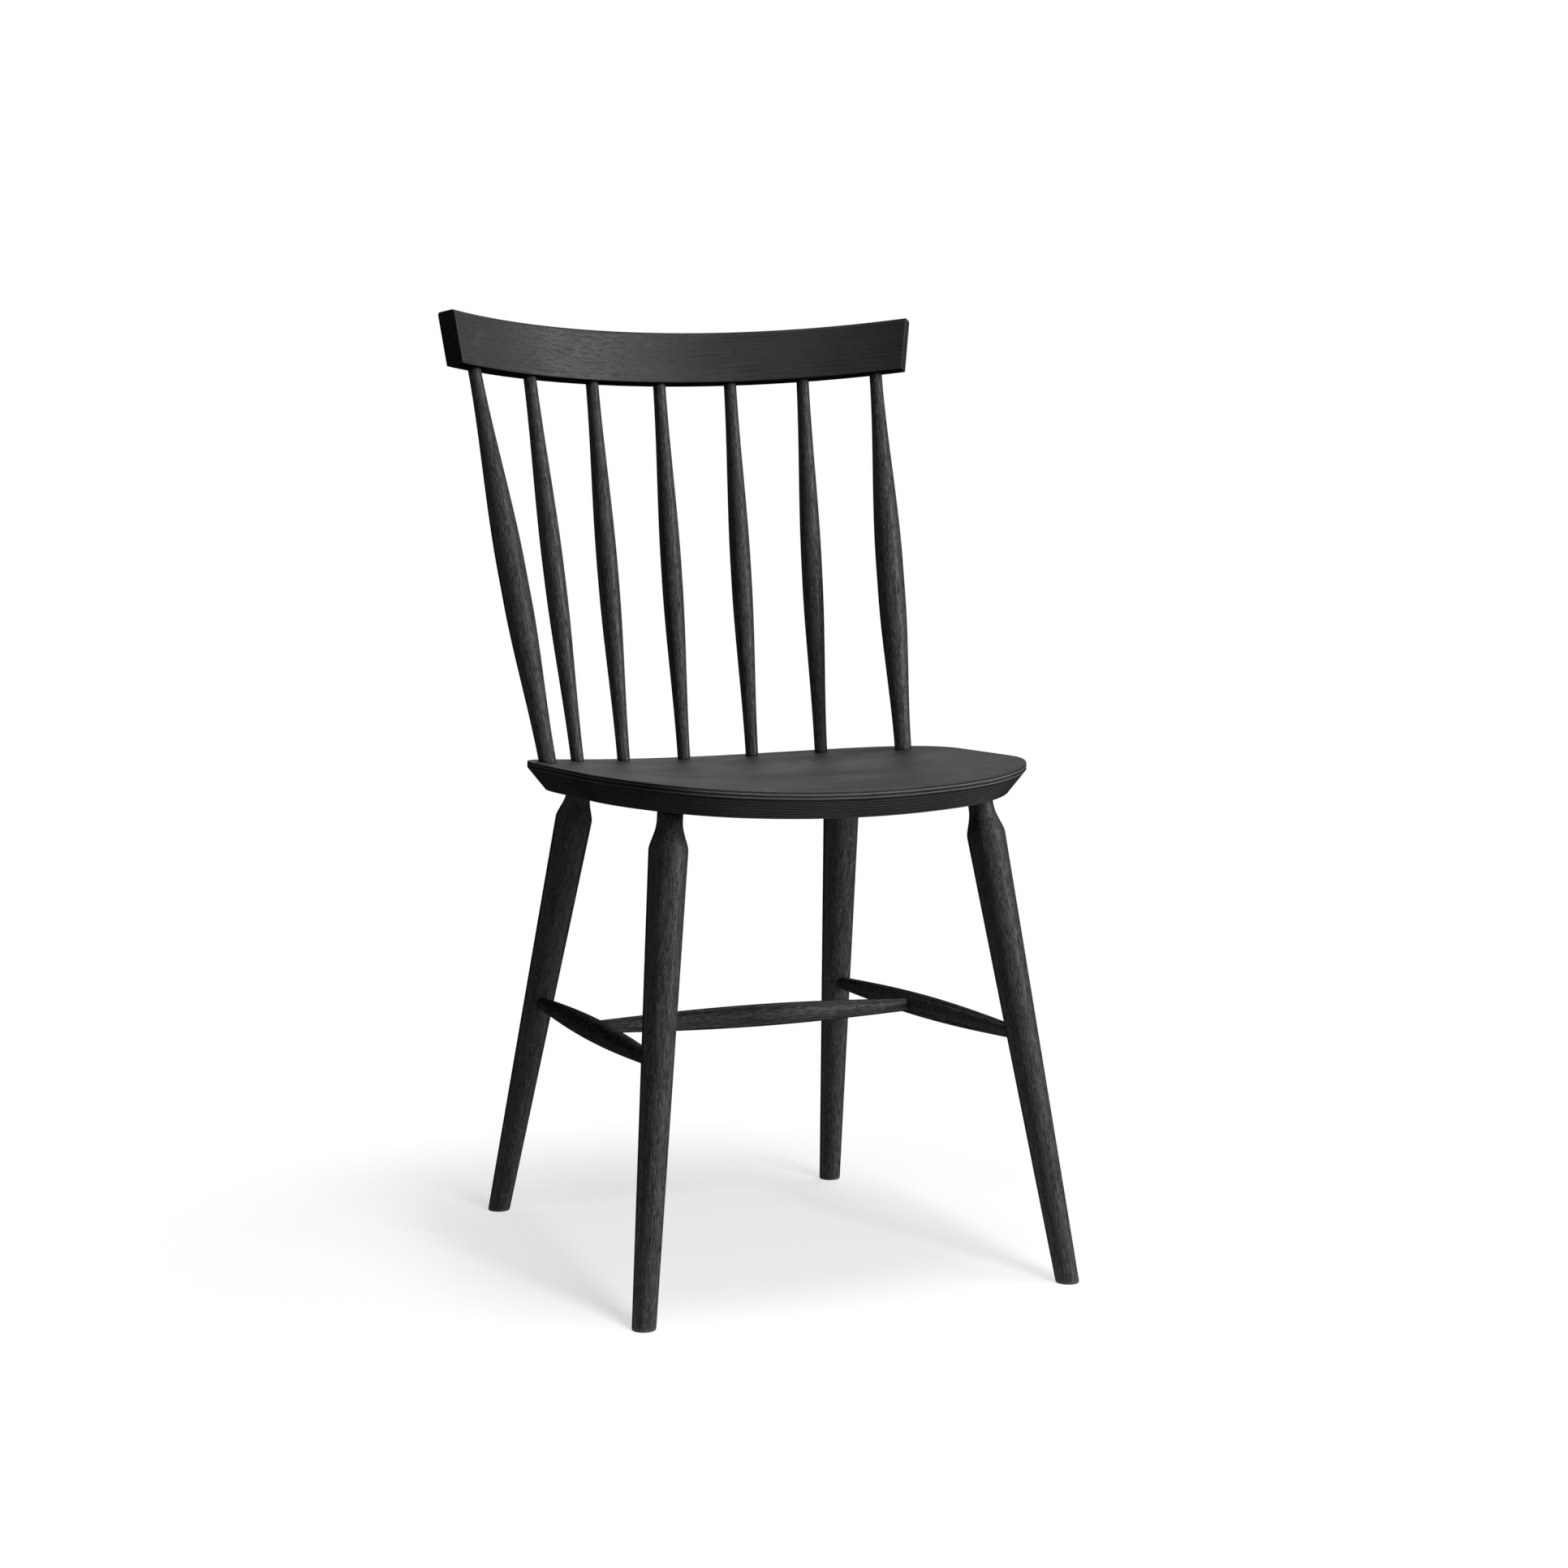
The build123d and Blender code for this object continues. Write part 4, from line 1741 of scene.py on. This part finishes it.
@dataclass(frozen=True)
class Studio:
    """White floor and surroundings, soft lamps and the camera.

    Attributes:
        lamps: The lamps.
        ambient: Light of the surroundings on the chair.
        sheen_backdrop: Brightness of the backdrop as it shows in a sheen.
        floor_radius: Radius of the floor.
        floor_sides: Straight sides of its rim.
        floor_drop: How far it lies under the feet.
        shadow_centre: Middle of the part of the floor that shows shadow.
        shadow_radius: How far out it shows it fully, and where it is plain white.
        floor_catch: Share of the floor's brightness that shadow can take away.
        floor_even: Share of the lamps' light that reaches the floor's middle past their edges.
        bounce_centre: Middle of the part of the floor that throws light on the chair.
        bounce_radius: How far out it throws it fully, and where it hardly does.
        floor_bounce: Lightness of the floor as the chair's surfaces see it, near and far.
        camera_at: Where the camera stands.
        camera_yaw: Its turn to the right of the back, in radians.
        camera_pitch: Its tilt, in radians.
        focal_pixels: Its focal length in pixels of the photograph.
        sensor: Width of its sensor, in millimetres.
    """

    lamps: tuple[Lamp, ...] = (
        Lamp("key", Lit.CHAIR, azimuth=47.0, elevation=22.0, distance=6.0, sides=(1.65, 4.5), level=1.4),
        Lamp("fill", Lit.CHAIR, azimuth=-85.0, elevation=12.0, distance=5.0, sides=(3.0, 3.0), level=0.08),
        Lamp("back", Lit.CHAIR, azimuth=148.0, elevation=12.0, distance=4.0, sides=(2.4, 2.4), level=0.45),
        Lamp("top", Lit.CHAIR, azimuth=35.0, elevation=80.0, distance=2.8, sides=(0.9, 0.9), level=0.25),
        Lamp("ceiling", Lit.FLOOR, azimuth=35.0, elevation=80.0, distance=2.8, sides=(0.9, 0.9), level=0.55),
        Lamp("front", Lit.FLOOR, azimuth=4.0, elevation=33.0, distance=4.0, sides=(1.1, 1.1), level=0.80),
    )
    ambient: float = 0.03
    sheen_backdrop: float = 0.2
    floor_radius: float = 12.0
    floor_sides: int = 96
    floor_drop: float = 0.0002
    shadow_centre: tuple[float, float, float] = (-0.05, 0.04, 0.0)
    shadow_radius: tuple[float, float] = (0.24, 0.58)
    floor_catch: float = 0.47
    floor_even: float = 0.97
    bounce_centre: tuple[float, float, float] = (0.05, -0.10, 0.0)
    bounce_radius: tuple[float, float] = (0.30, 0.75)
    floor_bounce: tuple[float, float] = (0.80, 0.05)
    camera_at: tuple[float, float, float] = (-1.14889, -2.75937, 0.73480)
    camera_yaw: float = 0.404437
    camera_pitch: float = -0.0989783
    focal_pixels: float = 3948.99
    sensor: float = 36.0

    def backdrop_share(self, desk: Desk) -> bpy.types.NodeSocket:
        """Share of the white backdrop in what a ray sees.

        Args:
            desk: Desk of the tree that asks.

        Returns:
            The socket of the share, which is 1 for the camera and less in a sheen.
        """
        path = desk.add("ShaderNodeLightPath").outputs
        sheen = desk.math("MULTIPLY", path["Is Glossy Ray"], self.sheen_backdrop)
        seen = desk.math("MAXIMUM", path["Is Camera Ray"], sheen)
        return desk.math("MAXIMUM", seen, path["Is Transmission Ray"])

    def surroundings(self) -> None:
        """White world for what looks at it, dim for what it lights."""
        world = bpy.data.worlds.new("surroundings")
        world.use_nodes = True
        desk = Desk(world.node_tree)
        strength = desk.math("MAXIMUM", self.backdrop_share(desk), self.ambient)
        background = desk.add("ShaderNodeBackground")
        background.inputs["Color"].default_value = (1.0, 1.0, 1.0, 1.0)
        desk.feed(background.inputs["Strength"], strength)
        output = desk.add("ShaderNodeOutputWorld")
        desk.feed(output.inputs["Surface"], background.outputs[0])
        bpy.context.scene.world = world

    def floor_finish(self) -> bpy.types.Material:
        """White paper that keeps the shadow near the chair and is plain white further out.

        Returns:
            The new material.
        """
        material = bpy.data.materials.new("white_floor")
        material.use_nodes = True
        material.cycles.emission_sampling = "NONE"
        desk = Desk(material.node_tree)
        place = desk.add("ShaderNodeTexCoord").outputs["Object"]
        from_shadow = desk.distance(place, self.shadow_centre)
        catch = desk.spread(from_shadow, *self.shadow_radius, self.floor_catch, 0.0)
        paper = desk.add("ShaderNodeBsdfDiffuse")
        desk.feed(paper.inputs["Color"], catch)
        glow = desk.add("ShaderNodeEmission")
        on_floor = [lamp.on_floor(MIDDLE) for lamp in self.lamps if lamp.lit is Lit.FLOOR]
        lit = self.ambient + sum(on_floor)
        desk.feed(glow.inputs["Strength"], desk.math("MULTIPLY_ADD", catch, -self.floor_even * lit, 1.0))
        seen = desk.add("ShaderNodeAddShader")
        desk.feed(seen.inputs[0], paper.outputs[0])
        desk.feed(seen.inputs[1], glow.outputs[0])
        bounce = desk.add("ShaderNodeBsdfDiffuse")
        lift = desk.spread(desk.distance(place, self.bounce_centre), *self.bounce_radius, *self.floor_bounce)
        desk.feed(bounce.inputs["Color"], lift)
        mixed = desk.add("ShaderNodeMixShader")
        desk.feed(mixed.inputs[0], self.backdrop_share(desk))
        desk.feed(mixed.inputs[1], bounce.outputs[0])
        desk.feed(mixed.inputs[2], seen.outputs[0])
        output = desk.add("ShaderNodeOutputMaterial")
        desk.feed(output.inputs["Surface"], mixed.outputs[0])
        return material

    def floor(self) -> bpy.types.Object:
        """Round floor under the chair.

        Returns:
            The new object.
        """
        turn = np.linspace(0.0, math.tau, self.floor_sides, endpoint=False)
        rim = np.column_stack((np.cos(turn), np.sin(turn), np.zeros(len(turn)))) * self.floor_radius
        mesh = bpy.data.meshes.new("floor")
        mesh.from_pydata(rim.tolist(), [], [tuple(range(len(turn)))])
        mesh.materials.append(self.floor_finish())
        floor = bpy.data.objects.new("floor", mesh)
        floor.location.z = -self.floor_drop
        bpy.context.scene.collection.objects.link(floor)
        floor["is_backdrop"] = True
        return floor

    def camera(self) -> None:
        """Camera at the photograph's place and angle."""
        lens = bpy.data.cameras.new("camera")
        lens.sensor_width = self.sensor
        lens.lens = self.focal_pixels / PHOTO_SIDE * self.sensor
        camera = bpy.data.objects.new("camera", lens)
        camera.location = self.camera_at
        camera.rotation_euler = (math.pi / 2 + self.camera_pitch, 0.0, -self.camera_yaw)
        bpy.context.scene.collection.objects.link(camera)
        bpy.context.scene.camera = camera

    def set_up(self, pieces: Sequence[bpy.types.Object]) -> None:
        """Everything around the chair.

        Args:
            pieces: The pieces of the chair.
        """
        bpy.context.scene.view_settings.view_transform = "Standard"
        self.surroundings()
        shades = {lit: bpy.data.collections.new(lit.value) for lit in Lit}
        shades[Lit.FLOOR].objects.link(self.floor())
        for piece in pieces:
            shades[Lit.CHAIR].objects.link(piece)
        for lamp in self.lamps:
            lamp.place(MIDDLE, shades[lamp.lit])
        self.camera()


@dataclass
class Chair:
    """The whole chair with its finishes.

    Attributes:
        face: Finish of the seat's faces.
        edge: Finish of the seat's cut edge.
        bent: Finish of the crest rail.
        matt: Finish of the rail's underside and ends.
        turned: Finish of every turned piece.
    """

    face: StainedWood = StainedWood(
        "stained_face_veneer", deep=(0.010, 0.010, 0.010, 1.0), raised=(0.092, 0.092, 0.093, 1.0),
        rings_per_metre=60.0, figure=0.08, fibre=0.13, pores=0.03, flecks=0.03, mottle=0.14, flakes=0.12,
        wear=0.0, reflectance=0.0122, sheen_slant=None, lustre=(0.65, 0.80))
    edge: StainedPlyEdge = StainedPlyEdge(
        "stained_ply_edge", deep=(0.019, 0.019, 0.019, 1.0), raised=(0.150, 0.150, 0.150, 1.0), figure=0.0,
        fibre=0.25, pores=0.1, flecks=0.1, mottle=0.1, wear=0.1, reflectance=0.0, lustre=(0.60, 0.72))
    bent: StainedWood = StainedWood(
        "stained_bent_wood", deep=(0.007, 0.007, 0.007, 1.0), raised=(0.062, 0.062, 0.063, 1.0),
        rings_per_metre=230.0, figure=0.26, fibre=0.26, pores=0.13, flecks=0.14, flakes=0.16, wear=0.0,
        lustre=(0.38, 0.50), reflectance=0.170, relief=0.0005)
    matt: StainedWood = StainedWood(
        "stained_end_grain", deep=(0.008, 0.008, 0.008, 1.0), raised=(0.055, 0.055, 0.055, 1.0), fibre=0.5,
        wear=0.2, reflectance=0.0, lustre=(0.6, 0.72))
    turned: StainedWood = StainedWood(
        "stained_turned_wood", deep=(0.004, 0.004, 0.004, 1.0), raised=(0.080, 0.080, 0.081, 1.0),
        figure=0.08, fibre=1.3, pores=0.5, flecks=0.9, mottle=0.05, lustre=(0.32, 0.46), reflectance=0.14,
        sheen_slant=(0.38, 0.62), relief=0.0003)

    def build(self) -> list[bpy.types.Object]:
        """All pieces, dressed.

        Returns:
            The new objects.
        """
        effects = Effects.made()
        seat = Seat()
        crest = CrestRail(seat)
        sticks = [*Spindles(seat, crest).pieces(), *Understructure(seat).pieces()]
        turned = [self.turned.material(effects)]
        pieces = [seat.build([self.face.material(effects), self.edge.material(effects)]),
                  crest.build([self.bent.material(effects), self.matt.material(effects)])]
        return pieces + [stick.build(turned) for stick in sticks]


def write_sizes() -> None:
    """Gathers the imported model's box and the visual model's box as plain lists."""
    boxes = {"cad": CAD_BOX, "visual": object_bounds()}
    plain = {name: [list(corner) for corner in box] for name, box in boxes.items()}


def main() -> None:
    """Builds the chair and the studio, and reports each piece."""
    logging.basicConfig(level=logging.INFO, format="%(name)s: %(message)s")
    pieces = Chair().build()
    Studio().set_up(pieces)
    LOG.info("%d pieces for %d packed nodes", len(pieces), len(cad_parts))
    write_sizes()


if __name__ == "__main__":
    main()
